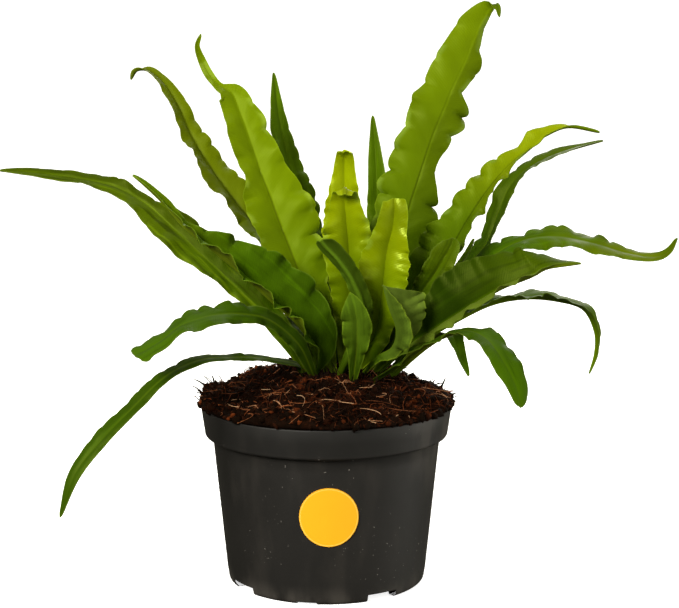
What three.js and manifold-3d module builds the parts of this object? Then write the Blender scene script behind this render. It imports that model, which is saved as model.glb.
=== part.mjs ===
import * as THREE from "three";
import Module from "manifold-3d";
import { mergeVertices } from "three/addons/utils/BufferGeometryUtils.js";

// A birds nest fern in its round nursery pot. Millimetres, +Z up.
// The origin is the middle of the circle that the pot stands on. -Y is the front, +X is right.

// Driving dimensions of the pot
const RIM_RADIUS = 75.4;
const POT_HEIGHT = 107.7;
const FOOT_RADIUS = 59.5;
const WALL = 1.5;
const COLLAR_HEIGHT = 17.5;
const COLLAR_TAPER = 2.2;
const COLLAR_STEP = 4.6;
const COLLAR_ROUNDING = 2;
const LIP_ROUNDING = 0.8;
const FLOOR_HEIGHT = 6.5;
const FOOT_RING_WIDTH = 7;
const FOOT_RING_SLOPE = 1.5;
const FOOT_ROUNDING = 3;
const ROUNDING_MIDDLE = 0.3;
const POT_SIDES = 44;

// Notches in the foot ring, the wide ones in front of a drain hole
const NOTCH_COUNT = 8;
const NOTCH_DEPTH = 14;
const WIDE_NOTCH_ANGLE = -56;
const WIDE_NOTCH = { width: 20, height: 4.8 };
const SMALL_NOTCH = { width: 12, height: 1.5 };
const DRAIN_RADIUS = 5;
const DRAIN_CIRCLE = 46;
const DRAIN_SIDES = 10;

// Round bare label
const LABEL_RADIUS = 17.2;
const LABEL_X = 1.8;
const LABEL_Z = 54.5;
const LABEL_THICKNESS = 0.6;
const LABEL_SIDES = 28;
const LABEL_REACHES = [0.01, 0.55, 1];

// Gap left between touching solids
const GAP = 0.35;

// The short stem that the fronds grow from, with a plain hole for each stalk
const CROWN_X = 12;
const CROWN_Y = -1;
const CROWN_RADIUS = 33;
const CROWN_TOP = 127.5;
const CROWN_DROP = 4.5;
const CROWN_DEPTH = 27;
const CROWN_TAPER = 4;
const CROWN_SIDES = 32;
const CROWN_REACHES = [1, 0.62, 0.3];
const HOLE_SIDES = 8;
const HOLE_CLEARANCE = 5;

// Soil, a lumpy mound from the lip of the pot to the crown
const SOIL_SIDES = 36;
const SOIL_OVERHANG = 1.2;
const SOIL_LIP_RISE = 0.4;
const SOIL_EDGE_RISE = 4.5;
const SOIL_TOP = 128.5;
const SOIL_EDGE_POWER = 2.4;
const LUMP_HEIGHT = 1.3;
const LUMP_LENGTH_X = 6.1;
const LUMP_LENGTH_Y = 5.3;
const LUMP_LENGTH_SLANTED = 9.7;
const LUMP_SHIFT_X = 1.3;
const LUMP_SHIFT_Y = -0.4;

// Rings of the mound: radius, and how far its centre has moved from the crown's to the pot's
const SOIL_RINGS = [[68, 0.95], [60, 0.75], [52, 0.5], [44, 0.25]];

// The larger loose fibres, each an arch with both ends in the soil
const FIBRE_COUNT = 22;
const FIBRE_RADIUS = 0.7;
const FIBRE_REACH = [0.35, 0.85];
const FIBRE_HALF_LENGTH = [5, 9];
const FIBRE_ARCH = [1.5, 4];
const FIBRE_END_DROP = 1.9;
const FIBRE_STEPS = 4;
const FIBRE_SEED = 7;

// Frond blades
const BLADE_THICKNESS = 0.8;
const RIB_DEPTH = 1.7;
const RIB_LOSS_AT_TIP = 0.75;
const TIP_HALF_WIDTH = 0.8;
const STALK_HALF_WIDTH = 2.3;
const STALK_RISE = 1;
const STALK_DEPTH = 10;

// Waves of the blade's edges
const FULL_WAVE_HALF_WIDTH = 8;
const WAVE_FADE_AT_FOOT = 4;
const WAVE_FADE_AT_TIP = 3;
const WAVE_SPREAD = 1.5;
const SECOND_WAVE = { size: 0.35, pace: 1.9, shift: 1 };
const LEFT_EDGE_SHIFT = 2.1;
const SCALLOP = { size: 0.12, shift: 1.2 };
const PHASE_BY_FOOT_X = 0.7;
const PHASE_BY_FOOT_Y = 1.9;

// Every frond: where its stalk leaves the crown, then the points of its midrib from there to the
// tip as [x, y, z, width of the left half, width of the right half], seen along the frond from the
// crown. waves is their number along an edge, ripple their height, and fold how far the left and
// the right half are lifted from flat, in degrees. facing is the compass angle of the rosette side
// that the blade belongs to, from +X towards +Y, where it isn't the tip's.
const FRONDS = {
  left_long: {
    foot: [-12, 3], waves: 7, ripple: 2.4, fold: [-22, 42], size: "large", facing: 128,
    path: [[-22, 6, 142, 4.5, 7], [-45, 11, 167, 4.5, 12], [-69, 19, 189, 8.5, 14],
      [-91, 28, 208, 12.5, 12], [-112, 37, 225, 9, 5.5], [-133, 44, 235, 6, 6], [-165, 52, 240, 5, 4.5],
      [-186, 57, 242, 4, 3.5], [-204, 60, 243, 1, 1]],
  },
  left_upper: {
    foot: [-7, -6], waves: 6, ripple: 2.4, fold: [74, 16], size: "large", facing: 116,
    path: [[-6, -9, 143, 8, 13], [-16, -15, 158, 12, 22], [-32, -18, 173, 14, 25],
      [-50, -21, 190, 12, 20], [-67, -24, 205, 10, 10.5], [-82, -26, 218, 7, 3.5],
      [-92, -27, 230, 4, 3.5], [-103, -28, 241, 2.5, 2.5], [-111, -28, 248, 1, 1]],
  },
  left_curl: {
    foot: [0, 8], waves: 7, ripple: 2.6, fold: [16, 16], size: "large", facing: 118,
    path: [[-11, 16, 162, 8, 8], [-30, 28, 194, 10.5, 13], [-53, 44, 221, 10, 13],
      [-70, 56, 242, 10, 10.5], [-84, 66, 263, 7, 8], [-92.5, 74, 281, 7, 6],
      [-102.5, 80, 296, 4.5, 4.5], [-113, 84, 304, 3, 3.5], [-121, 85, 303.5, 2, 2],
      [-124, 84, 298, 1, 1]],
  },
  left_bright: {
    foot: [4, 2], waves: 7, ripple: 2.2, fold: [12, 12], size: "large", facing: 104,
    path: [[-3, 4, 152, 8, 8], [-15, 9, 182, 13, 17], [-28, 16, 214, 17, 23.5],
      [-34, 20, 230, 17, 21], [-40, 24, 245, 11.5, 16], [-48, 30, 268, 13, 13.5],
      [-54, 35, 284, 10.5, 10], [-57, 37, 291, 10, 7.5], [-60.5, 37.5, 294, 8, 4.5], [-65, 38, 296.5, 4.5, 2],
      [-71, 39, 303, 3.5, 2.5], [-75.5, 39, 312, 2.8, 2.2], [-78, 36, 320, 1.6, 1.6],
      [-75.5, 34, 327, 1, 1]],
  },
  back_left_dark: {
    foot: [2, 17], waves: 5, ripple: 2, fold: [16, 16], size: "medium",
    path: [[1, 26, 154, 6, 6], [-9, 48, 194, 11, 10], [-18, 66, 227, 10, 10], [-26, 80, 254, 9.5, 6.5],
      [-31, 90, 278, 6.5, 4], [-34, 96, 302, 1, 1]],
  },
  young_back: {
    foot: [11, 11], waves: 4, ripple: 1.2, fold: [14, 14], size: "medium", facing: 90,
    path: [[12, 16, 152, 6, 6], [12, 20, 182, 11, 10], [12, 21, 212, 15, 11], [11, 19, 243, 8, 7],
      [11, 17, 253, 6, 6], [11, 14, 258, 5, 5], [11, 11, 258.5, 4.5, 4.5]],
  },
  young_middle: {
    foot: [10, 3], waves: 4, ripple: 1.4, fold: [16, 16], size: "medium", facing: 90,
    path: [[12, 3, 150, 7, 7], [14, 2, 178, 12, 12], [13, 1, 205, 16.5, 15],
      [11, -2, 228, 9.5, 10.5], [11, -6, 236, 7.5, 8], [11, -10, 238, 7, 7], [11, -13, 235, 6.5, 6.5]],
  },
  young_front: {
    foot: [17, -6], waves: 5, ripple: 1.8, fold: [20, 20], size: "medium", facing: 84,
    path: [[28, -15, 150, 8, 9], [32, -17, 170, 11, 12], [34, -17, 190, 16, 16],
      [36, -17, 204, 13, 14], [39, -18, 216, 10.5, 9.5], [40, -18, 226, 8.5, 8.5],
      [40, -17, 231, 7, 7]],
  },
  back_centre_dark: {
    foot: [15, 21], waves: 4, ripple: 1.6, fold: [16, 16], size: "medium",
    path: [[22, 32, 153, 6, 6], [30, 54, 187, 7.5, 9], [31.5, 72, 220, 6, 9],
      [31, 84, 247, 5, 5], [29, 92, 275, 1, 1]],
  },
  tall_right: {
    foot: [21, 8], waves: 9, ripple: 2.2, fold: [10, -20], size: "large", facing: 80,
    path: [[29, 14, 152, 10, 10], [39, 22, 184, 16, 12], [50, 29, 223, 21, 19],
      [55, 33, 238, 21, 12], [60, 37, 253, 20, 9], [65, 41, 267, 19, 12], [71, 45, 281, 20, 17],
      [77, 49, 295, 18, 8], [84, 53, 309, 17, 11], [89, 57, 321, 15, 6], [94, 60, 332, 12.5, 4],
      [99, 60, 341, 8, 3], [102, 59, 344, 4, 3], [105, 57, 343, 2, 2], [106, 55, 337, 1, 1]],
  },
  right_bright: {
    foot: [27, 1], waves: 8, ripple: 2, fold: [14, 30], size: "large", facing: 70,
    path: [[41, -1, 150, 8, 8], [57, -1, 176, 14, 9], [72, 1, 198, 19, 8], [84, 4, 218, 14, 7.5],
      [95, 8, 234, 12.5, 6], [107, 12, 248, 9, 4.5], [119, 16, 258, 6, 2.5], [126, 18, 263.5, 8.5, 1.8],
      [131, 19, 267.5, 6, 2], [145, 21, 272.5, 3, 1.8], [164, 20, 269.5, 1, 1]],
  },
  right_arch: {
    foot: [31, 20], waves: 5, ripple: 1.8, fold: [14, 14], size: "medium", facing: 40,
    path: [[48, 32, 150, 6, 6], [76, 46, 175, 8, 9.5], [98, 56, 195, 7, 6.5],
      [107, 61, 215, 8, 6], [115, 64, 233, 7, 6], [128, 67, 245, 6.5, 8], [147, 69, 253.5, 5, 7],
      [173, 69, 261, 1, 1]],
  },
  right_long: {
    foot: [38, 0], waves: 6, ripple: 1.8, fold: [30, -30], size: "medium", facing: 0,
    path: [[57, 4, 150, 6, 6], [81, 12, 176, 9, 9], [99, 15, 194, 9, 11],
      [118, 15, 204.5, 7.5, 11], [138, 11, 207.5, 9, 11], [159, 3, 204.5, 7.5, 9.5],
      [178, -4, 199.5, 5, 7], [193, -11, 198, 4, 4], [201, -15, 202, 3, 3],
      [205, -18, 210, 1, 1]],
  },
  right_broad: {
    foot: [29, -9], waves: 7, ripple: 2, fold: [8, 64], size: "large", facing: 64,
    path: [[46, -20, 145, 8, 6], [66, -29, 160, 19, 15], [84, -35, 173, 25, 16],
      [102, -40, 184, 21, 14], [118, -43, 191, 18.5, 12], [127, -44, 196, 11, 4],
      [146, -44, 199, 1, 1]],
  },
  right_droop_far: {
    foot: [38, 9], waves: 5, ripple: 1.6, fold: [14, 14], size: "medium",
    path: [[60, 13, 145, 5, 5], [83, 22, 157, 9, 9], [103, 27, 165, 9.5, 9.5],
      [123, 27, 168, 9.5, 9.5], [142, 22, 167, 9, 9], [156, 14, 163, 8.5, 8.5], [162, 4, 151, 8, 8],
      [161.5, -3, 139, 6.5, 6.5], [157.5, -8, 127, 1, 1]],
  },
  right_droop_near: {
    foot: [28, -18], waves: 5, ripple: 1.6, fold: [8, -14], size: "medium",
    path: [[43, -31, 138, 5, 6], [59, -49, 153.5, 5.5, 7.5], [76.5, -63, 163, 8.5, 6.5],
      [88.5, -77, 162, 9, 7], [97, -90, 153, 10, 8], [104.5, -100, 139, 8, 6.5],
      [107, -106, 128, 3, 3]],
  },
  right_small_hang: {
    foot: [38, -8], waves: 3, ripple: 1, fold: [16, 16], size: "small", facing: -60,
    path: [[56, -12, 142, 4, 4], [68, -17, 151, 5, 5], [74, -22, 153, 6, 6],
      [77, -27, 147, 4.5, 4.5], [80, -31, 139, 3, 3], [83.5, -34, 131, 1, 1]],
  },
  front_right_curl: {
    foot: [20, -13], waves: 3, ripple: 1.4, fold: [-72, -50], size: "small", facing: 10,
    path: [[29, -26, 141, 4, 4], [38, -38, 149, 9, 7], [40, -46, 161, 21, 11],
      [36, -49, 173, 23, 9], [33.5, -50, 182, 10, 4], [32.5, -50, 187, 1, 1]],
  },
  front_centre: {
    foot: [16, -22], waves: 3, ripple: 0.8, fold: [12, 12], size: "small", facing: 90,
    path: [[17.5, -32, 143, 5, 5], [18, -38, 153, 8, 7.5], [18, -43, 165, 9.5, 8.5],
      [16.5, -46, 174, 7.5, 5.5], [14, -47, 182, 1.5, 1.5]],
  },
  front_dark_fold: {
    foot: [8, -13], waves: 3, ripple: 1, fold: [24, 24], size: "small",
    path: [[18, -21, 150, 5, 5], [22, -29, 168, 5.5, 5.5], [16, -35, 186, 6.5, 6.5],
      [8, -39, 199, 7, 8], [0, -42, 208, 6.5, 7.5], [-3, -44, 212, 4.5, 5]],
  },
  left_low_curl: {
    foot: [-7, -14], waves: 6, ripple: 1.6, fold: [-42, 32], size: "medium", facing: 160,
    path: [[-16, -30, 149, 5, 5], [-32, -46, 166, 4.5, 5.5], [-47, -60, 172, 6, 7.5],
      [-63, -73, 173.5, 8, 9], [-79, -84, 170, 10, 9], [-89, -92, 163.5, 8.5, 10],
      [-97, -97, 159, 8.5, 8.5], [-101, -99, 157, 7, 6.5], [-103, -100, 156, 4, 4]],
  },
  left_bottom: {
    foot: [-14, -9], waves: 6, ripple: 1.2, fold: [-34, 24], size: "medium",
    path: [[-16, -11, 133, 3, 3], [-25, -24, 138, 3.2, 3.2], [-38, -40, 143, 3.2, 3.2],
      [-54, -54, 146, 3, 3.5], [-71, -68, 147, 3.5, 4], [-89, -82, 140.5, 3.8, 4.6],
      [-107.5, -94, 124, 4.2, 5.4], [-123.5, -104, 108.5, 4.2, 5.5], [-137, -110, 91, 3.8, 4.2],
      [-145, -113, 68, 1, 1]],
  },
  back_right_dark: {
    foot: [32, 11], waves: 3, ripple: 1.4, fold: [16, 16], size: "small",
    path: [[46, 22, 150, 5, 5], [66, 28, 168, 5.5, 5.5], [79, 33, 183, 4.5, 4.5],
      [87, 35, 195, 3, 3], [90, 36, 203, 1, 1]],
  },
  right_inner_small: {
    foot: [25, -4], waves: 3, ripple: 1.2, fold: [16, 16], size: "small", facing: 75,
    path: [[39, -8, 152, 4, 4], [52, -10, 170, 6, 6], [63, -11, 186, 8, 8],
      [70, -11, 198, 8.5, 8], [74, -10, 205, 6, 6], [75, -9, 209, 3, 3]],
  },
  back_arch_left: {
    foot: [-6, 14], waves: 5, ripple: 2, fold: [16, 16], size: "medium",
    path: [[-14, 30, 146, 8, 8], [-30, 54, 168, 13, 13], [-46, 78, 182, 14, 14],
      [-58, 98, 180, 11, 11], [-65, 110, 168, 6, 6], [-69, 115, 154, 1, 1]],
  },
  back_arch_middle: {
    foot: [8, 24], waves: 5, ripple: 2, fold: [16, 16], size: "medium",
    path: [[6, 40, 150, 8, 8], [2, 62, 176, 14, 14], [-3, 86, 190, 15, 15],
      [-7, 104, 184, 11, 11], [-9, 114, 168, 1, 1]],
  },
  back_arch_right: {
    foot: [22, 24], waves: 5, ripple: 2, fold: [16, 16], size: "medium",
    path: [[28, 42, 146, 8, 8], [38, 66, 164, 13, 13], [50, 90, 172, 13, 13],
      [58, 105, 164, 9, 9], [62, 114, 150, 1, 1]],
  },
};

const DETAIL = {
  large: { stations: 27, across: 4 },
  medium: { stations: 19, across: 4 },
  small: { stations: 13, across: 2 },
};

const POT_BLACK = { color: 0x1d1f20, roughness: 0.55, metalness: 0 };
const LABEL_YELLOW = { color: 0xf5b51e, roughness: 0.4, metalness: 0 };
const PEAT_BROWN = { color: 0x3a1d12, roughness: 0.95, metalness: 0 };
const CROWN_BROWN = { color: 0x2b1a10, roughness: 0.9, metalness: 0 };
const LEAF_GREEN = { color: 0x5a9a1e, roughness: 0.45, metalness: 0 };

const wasm = await Module();
wasm.setup();

const radians = THREE.MathUtils.degToRad;
const FULL_TURN = 2 * Math.PI;

// The same run of numbers each time, between 0 and 1
function seededRandom(seed) {
  let state = seed;
  return () => {
    state = (state * 1664525 + 1013904223) % 4294967296;
    return state / 4294967296;
  };
}

function between(random, [low, high]) {
  return low + (high - low) * random();
}

// Solids
function toSolid(geometry) {
  const bare = geometry.clone();
  bare.deleteAttribute("normal");
  bare.deleteAttribute("uv");
  const merged = mergeVertices(bare, 1e-3);
  return new wasm.Manifold(new wasm.Mesh({
    numProp: 3,
    vertProperties: new Float32Array(merged.attributes.position.array),
    triVerts: new Uint32Array(merged.index.array),
  }));
}

function toGeometry(solid) {
  const mesh = solid.getMesh();
  const geometry = new THREE.BufferGeometry();
  geometry.setAttribute("position", new THREE.BufferAttribute(mesh.vertProperties.slice(), 3));
  geometry.setIndex(Array.from(mesh.triVerts));
  return geometry;
}

function middleOf(ring) {
  const middle = new THREE.Vector3();
  for (const point of ring) middle.addScaledVector(point, 1 / ring.length);
  return middle;
}

// A skin through rings of points that run the same way round, closed by a flat end at each side
function ringSolid(rings) {
  const positions = [];
  const index = [];
  const count = rings[0].length;
  for (const ring of rings) {
    for (const point of ring) positions.push(point.x, point.y, point.z);
  }
  for (let r = 0; r + 1 < rings.length; r++) {
    for (let k = 0; k < count; k++) {
      const a = r * count + k;
      const b = r * count + ((k + 1) % count);
      index.push(a, b, b + count, a, b + count, a + count);
    }
  }
  for (const [r, forwards] of [[0, false], [rings.length - 1, true]]) {
    const middle = middleOf(rings[r]);
    positions.push(middle.x, middle.y, middle.z);
    const centre = positions.length / 3 - 1;
    for (let k = 0; k < count; k++) {
      const a = r * count + k;
      const b = r * count + ((k + 1) % count);
      index.push(centre, forwards ? a : b, forwards ? b : a);
    }
  }
  const geometry = new THREE.BufferGeometry();
  geometry.setAttribute("position", new THREE.Float32BufferAttribute(positions, 3));
  geometry.setIndex(index);
  return geometry;
}

function roundRing(radius, height, sides, centreX = 0, centreY = 0) {
  const ring = [];
  for (let k = 0; k < sides; k++) {
    const angle = (FULL_TURN * k) / sides;
    ring.push(new THREE.Vector3(
      centreX + radius * Math.cos(angle), centreY + radius * Math.sin(angle), height));
  }
  return ring;
}

// The upright body under the collar
const COLLAR_BOTTOM = POT_HEIGHT - COLLAR_HEIGHT;
const COLLAR_FOOT_RADIUS = RIM_RADIUS - COLLAR_TAPER;
const BODY_TOP_RADIUS = COLLAR_FOOT_RADIUS - COLLAR_STEP;

function bodyRadius(height) {
  return FOOT_RADIUS + ((BODY_TOP_RADIUS - FOOT_RADIUS) * height) / COLLAR_BOTTOM;
}

// The inside of the pot, as [radius, height] from the floor to the rim
function potInside() {
  return [
    [bodyRadius(FLOOR_HEIGHT) - WALL, FLOOR_HEIGHT],
    [BODY_TOP_RADIUS - WALL, COLLAR_BOTTOM - COLLAR_ROUNDING / 2],
    [COLLAR_FOOT_RADIUS - WALL, COLLAR_BOTTOM + COLLAR_ROUNDING],
    [RIM_RADIUS - WALL, POT_HEIGHT - LIP_ROUNDING],
  ];
}

function potGeometry() {
  const outside = [
    [FOOT_RADIUS - FOOT_ROUNDING, 0],
    [FOOT_RADIUS - FOOT_ROUNDING * ROUNDING_MIDDLE, FOOT_ROUNDING * ROUNDING_MIDDLE],
    [bodyRadius(FOOT_ROUNDING), FOOT_ROUNDING],
    [bodyRadius(COLLAR_BOTTOM - COLLAR_ROUNDING), COLLAR_BOTTOM - COLLAR_ROUNDING],
    [COLLAR_FOOT_RADIUS - COLLAR_STEP * ROUNDING_MIDDLE, COLLAR_BOTTOM - COLLAR_ROUNDING / 2],
    [COLLAR_FOOT_RADIUS, COLLAR_BOTTOM + COLLAR_ROUNDING],
    [RIM_RADIUS, POT_HEIGHT - LIP_ROUNDING],
    [RIM_RADIUS - WALL / 2, POT_HEIGHT],
  ];
  const underside = [
    [0, FLOOR_HEIGHT - WALL],
    [FOOT_RADIUS - FOOT_RING_WIDTH - FOOT_RING_SLOPE, FLOOR_HEIGHT - WALL],
    [FOOT_RADIUS - FOOT_RING_WIDTH, 0],
  ];
  const inside = [...potInside().reverse(), [0, FLOOR_HEIGHT]];
  const profile = [...underside, ...outside, ...inside];
  const lathe = new THREE.LatheGeometry(
    profile.map(([radius, height]) => new THREE.Vector2(radius, height)), POT_SIDES);
  lathe.rotateX(Math.PI / 2);
  let solid = toSolid(lathe);
  for (let k = 0; k < NOTCH_COUNT; k++) {
    const notch = k % 2 ? SMALL_NOTCH : WIDE_NOTCH;
    const angle = radians(WIDE_NOTCH_ANGLE + (360 / NOTCH_COUNT) * k);
    const cut = new THREE.BoxGeometry(2 * NOTCH_DEPTH, notch.width, 2 * notch.height);
    cut.translate(FOOT_RADIUS, 0, 0);
    cut.rotateZ(angle);
    solid = solid.subtract(toSolid(cut));
    if (notch === WIDE_NOTCH) {
      const drain = new THREE.CylinderGeometry(
        DRAIN_RADIUS, DRAIN_RADIUS, 3 * FLOOR_HEIGHT, DRAIN_SIDES);
      drain.rotateX(Math.PI / 2);
      drain.translate(DRAIN_CIRCLE * Math.cos(angle), DRAIN_CIRCLE * Math.sin(angle), 0);
      solid = solid.subtract(toSolid(drain));
    }
  }
  return toGeometry(solid);
}

// A thin disc bent to the front of the pot, as rings from the middle of its back to its face's
function labelGeometry() {
  const back = LABEL_REACHES.map((reach) => [reach, GAP]);
  const face = LABEL_REACHES.map((reach) => [reach, GAP + LABEL_THICKNESS]).reverse();
  const rings = [...back, ...face].map(([reach, lift]) => {
    const ring = [];
    for (let k = 0; k < LABEL_SIDES; k++) {
      const angle = (FULL_TURN * k) / LABEL_SIDES;
      const height = LABEL_Z + reach * LABEL_RADIUS * Math.sin(angle);
      const around = (LABEL_X + reach * LABEL_RADIUS * Math.cos(angle)) / bodyRadius(height);
      const radius = bodyRadius(height) + lift;
      ring.push(new THREE.Vector3(radius * Math.sin(around), -radius * Math.cos(around), height));
    }
    return ring;
  });
  return ringSolid(rings);
}

// The slightly domed top of the crown
function crownHeight(x, y) {
  const reach = Math.hypot(x - CROWN_X, y - CROWN_Y) / CROWN_RADIUS;
  return CROWN_TOP - CROWN_DROP * reach * reach;
}

function crownGeometry() {
  const bottom = CROWN_TOP - CROWN_DEPTH;
  const rings = [roundRing(CROWN_RADIUS - CROWN_TAPER, bottom, CROWN_SIDES, CROWN_X, CROWN_Y)];
  for (const reach of CROWN_REACHES) {
    const radius = CROWN_RADIUS * reach;
    const height = crownHeight(CROWN_X + radius, CROWN_Y);
    rings.push(roundRing(radius, height, CROWN_SIDES, CROWN_X, CROWN_Y));
  }
  let solid = toSolid(ringSolid(rings));
  for (const frond of Object.values(FRONDS)) {
    const stalk = frondRings(frond)[0];
    const middle = middleOf(stalk);
    const reach = Math.max(...stalk.map((point) => point.distanceTo(middle)));
    const radius = (reach + GAP) / Math.cos(Math.PI / HOLE_SIDES);
    solid = solid.subtract(toSolid(ringSolid([
      roundRing(radius, middle.z - GAP, HOLE_SIDES, middle.x, middle.y),
      roundRing(radius, CROWN_TOP + HOLE_CLEARANCE, HOLE_SIDES, middle.x, middle.y)])));
  }
  return toGeometry(solid);
}

// Height of the lumpy soil
function soilHeight(x, y) {
  const reach = Math.min(1, Math.hypot(x, y) / RIM_RADIUS);
  const edge = POT_HEIGHT + SOIL_EDGE_RISE;
  const dome = 1 - Math.pow(reach, SOIL_EDGE_POWER);
  const across = Math.sin(x / LUMP_LENGTH_X + LUMP_SHIFT_X);
  const deep = Math.cos(y / LUMP_LENGTH_Y + LUMP_SHIFT_Y);
  const slanted = Math.sin((x + 2 * y) / LUMP_LENGTH_SLANTED);
  return edge + (SOIL_TOP - edge) * dome + LUMP_HEIGHT * (across * deep + slanted);
}

// A ring on the soil. Its centre is the crown's where edge is 0 and the pot's where it is 1.
function soilRing(radius, edge) {
  const centreX = (1 - edge) * CROWN_X;
  const centreY = (1 - edge) * CROWN_Y;
  return roundRing(radius, 0, SOIL_SIDES, centreX, centreY)
    .map((point) => point.setZ(soilHeight(point.x, point.y)));
}

// A three-sided arched fibre
function fibreGeometry(random) {
  const angle = FULL_TURN * random();
  const out = between(random, FIBRE_REACH);
  const reach = CROWN_RADIUS + out * (RIM_RADIUS - CROWN_RADIUS);
  const middleX = reach * Math.cos(angle) + (1 - out) * CROWN_X;
  const middleY = reach * Math.sin(angle) + (1 - out) * CROWN_Y;
  const heading = FULL_TURN * random();
  const half = between(random, FIBRE_HALF_LENGTH);
  const arch = between(random, FIBRE_ARCH);
  const rings = [];
  for (let k = 0; k <= FIBRE_STEPS; k++) {
    const along = (2 * k) / FIBRE_STEPS - 1;
    const x = middleX + half * along * Math.cos(heading);
    const y = middleY + half * along * Math.sin(heading);
    const z = soilHeight(x, y) + arch * (1 - FIBRE_END_DROP * along * along);
    const ring = [];
    for (let corner = 0; corner < 3; corner++) {
      const turn = (FULL_TURN * corner) / 3;
      const side = FIBRE_RADIUS * Math.cos(turn);
      ring.push(new THREE.Vector3(x - side * Math.sin(heading), y + side * Math.cos(heading),
        z + FIBRE_RADIUS * Math.sin(turn)));
    }
    rings.push(ring);
  }
  return ringSolid(rings);
}

function soilGeometry() {
  const floor = potInside()[0];
  const rings = [roundRing(floor[0] - GAP, floor[1] + GAP, SOIL_SIDES)];
  for (const [radius, height] of potInside().slice(1)) {
    rings.push(roundRing(radius - GAP, height, SOIL_SIDES));
  }
  const lip = POT_HEIGHT + GAP;
  const edge = RIM_RADIUS + SOIL_OVERHANG;
  rings.push(roundRing(RIM_RADIUS - WALL - GAP, lip, SOIL_SIDES));
  rings.push(roundRing(edge - 1, lip + SOIL_LIP_RISE, SOIL_SIDES));
  rings.push(soilRing(edge - 2, 1));
  for (const [radius, share] of SOIL_RINGS) rings.push(soilRing(radius, share));
  const pit = CROWN_RADIUS + GAP;
  rings.push(soilRing(pit, 0));
  rings.push(roundRing(pit, CROWN_TOP - CROWN_DEPTH - GAP, SOIL_SIDES, CROWN_X, CROWN_Y));
  let solid = toSolid(ringSolid(rings));
  const random = seededRandom(FIBRE_SEED);
  for (let k = 0; k < FIBRE_COUNT; k++) solid = solid.add(toSolid(fibreGeometry(random)));
  return toGeometry(solid);
}

// One frond as rings from its root to its tip: a leaf skin of equal thickness with a rib below,
// waved towards its edges
function frondRings(frond) {
  const { stations, across } = DETAIL[frond.size];
  const [footX, footY] = frond.foot;
  const crownTop = crownHeight(footX, footY);
  const stalk = [footX, footY, crownTop + STALK_RISE, STALK_HALF_WIDTH, STALK_HALF_WIDTH];
  const path = [stalk, ...frond.path];
  const midrib = new THREE.CatmullRomCurve3(
    path.map(([x, y, z]) => new THREE.Vector3(x, y, z)), false, "catmullrom", 0.5);
  const widths = new THREE.CatmullRomCurve3(
    path.map(([, , , left, right]) => new THREE.Vector3(left, right, 0)), false, "catmullrom", 0.5);
  const [tipX, tipY] = path[path.length - 1];
  const facing = frond.facing === undefined
    ? Math.atan2(tipY - footY, tipX - footX) : radians(frond.facing);
  const level = new THREE.Vector3(-Math.sin(facing), Math.cos(facing), 0);
  const phase = footX * PHASE_BY_FOOT_X + footY * PHASE_BY_FOOT_Y;
  const folds = frond.fold.map(radians);
  const upper = [];
  for (let i = 0; i <= stations; i++) {
    const along = i / stations;
    const t = midrib.getUtoTmapping(along);
    const centre = midrib.getPoint(t);
    const tangent = midrib.getTangent(t);
    const { x: left, y: right } = widths.getPoint(t);
    const side = level.clone().addScaledVector(tangent, -tangent.dot(level)).normalize();
    const face = tangent.clone().cross(side);
    const swell = Math.min(1, (left + right) / 2 / FULL_WAVE_HALF_WIDTH)
      * Math.min(1, WAVE_FADE_AT_FOOT * along)
      * Math.min(1, WAVE_FADE_AT_TIP * (1 - along));
    const row = [];
    for (let k = 0; k <= across; k++) {
      const u = (2 * k) / across - 1;
      const turn = FULL_TURN * frond.waves * along + phase + (u > 0 ? LEFT_EDGE_SHIFT : 0);
      const second = SECOND_WAVE.size * Math.sin(SECOND_WAVE.pace * turn + SECOND_WAVE.shift);
      const wave = frond.ripple * swell * Math.pow(Math.abs(u), WAVE_SPREAD)
        * (Math.sin(turn) + second);
      const scallop = 1 + SCALLOP.size * swell * Math.sin(turn + SCALLOP.shift);
      const out = Math.max(TIP_HALF_WIDTH, u > 0 ? left : right) * scallop * Math.abs(u);
      const fold = folds[u > 0 ? 0 : 1];
      const outward = Math.sign(u);
      row.push(centre.clone()
        .addScaledVector(side, outward * (out * Math.cos(fold) - wave * Math.sin(fold)))
        .addScaledVector(face, out * Math.sin(fold) + wave * Math.cos(fold)));
    }
    upper.push(row);
  }
  const lower = upper.map((row, i) => row.map((point, k) => {
    const before = upper[Math.max(0, i - 1)][k];
    const after = upper[Math.min(upper.length - 1, i + 1)][k];
    const leftward = row[Math.min(across, k + 1)].clone().sub(row[Math.max(0, k - 1)]);
    const normal = after.clone().sub(before).cross(leftward).normalize();
    const rib = k === across / 2 ? RIB_DEPTH * (1 - (RIB_LOSS_AT_TIP * i) / stations) : 0;
    return point.clone().addScaledVector(normal, -BLADE_THICKNESS - rib);
  }));
  const rings = upper.map((row, i) => [...row, ...lower[i].slice().reverse()]);
  const root = rings[0].map((point) => point.clone().setZ(crownTop - STALK_DEPTH));
  return [root, ...rings];
}

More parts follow.
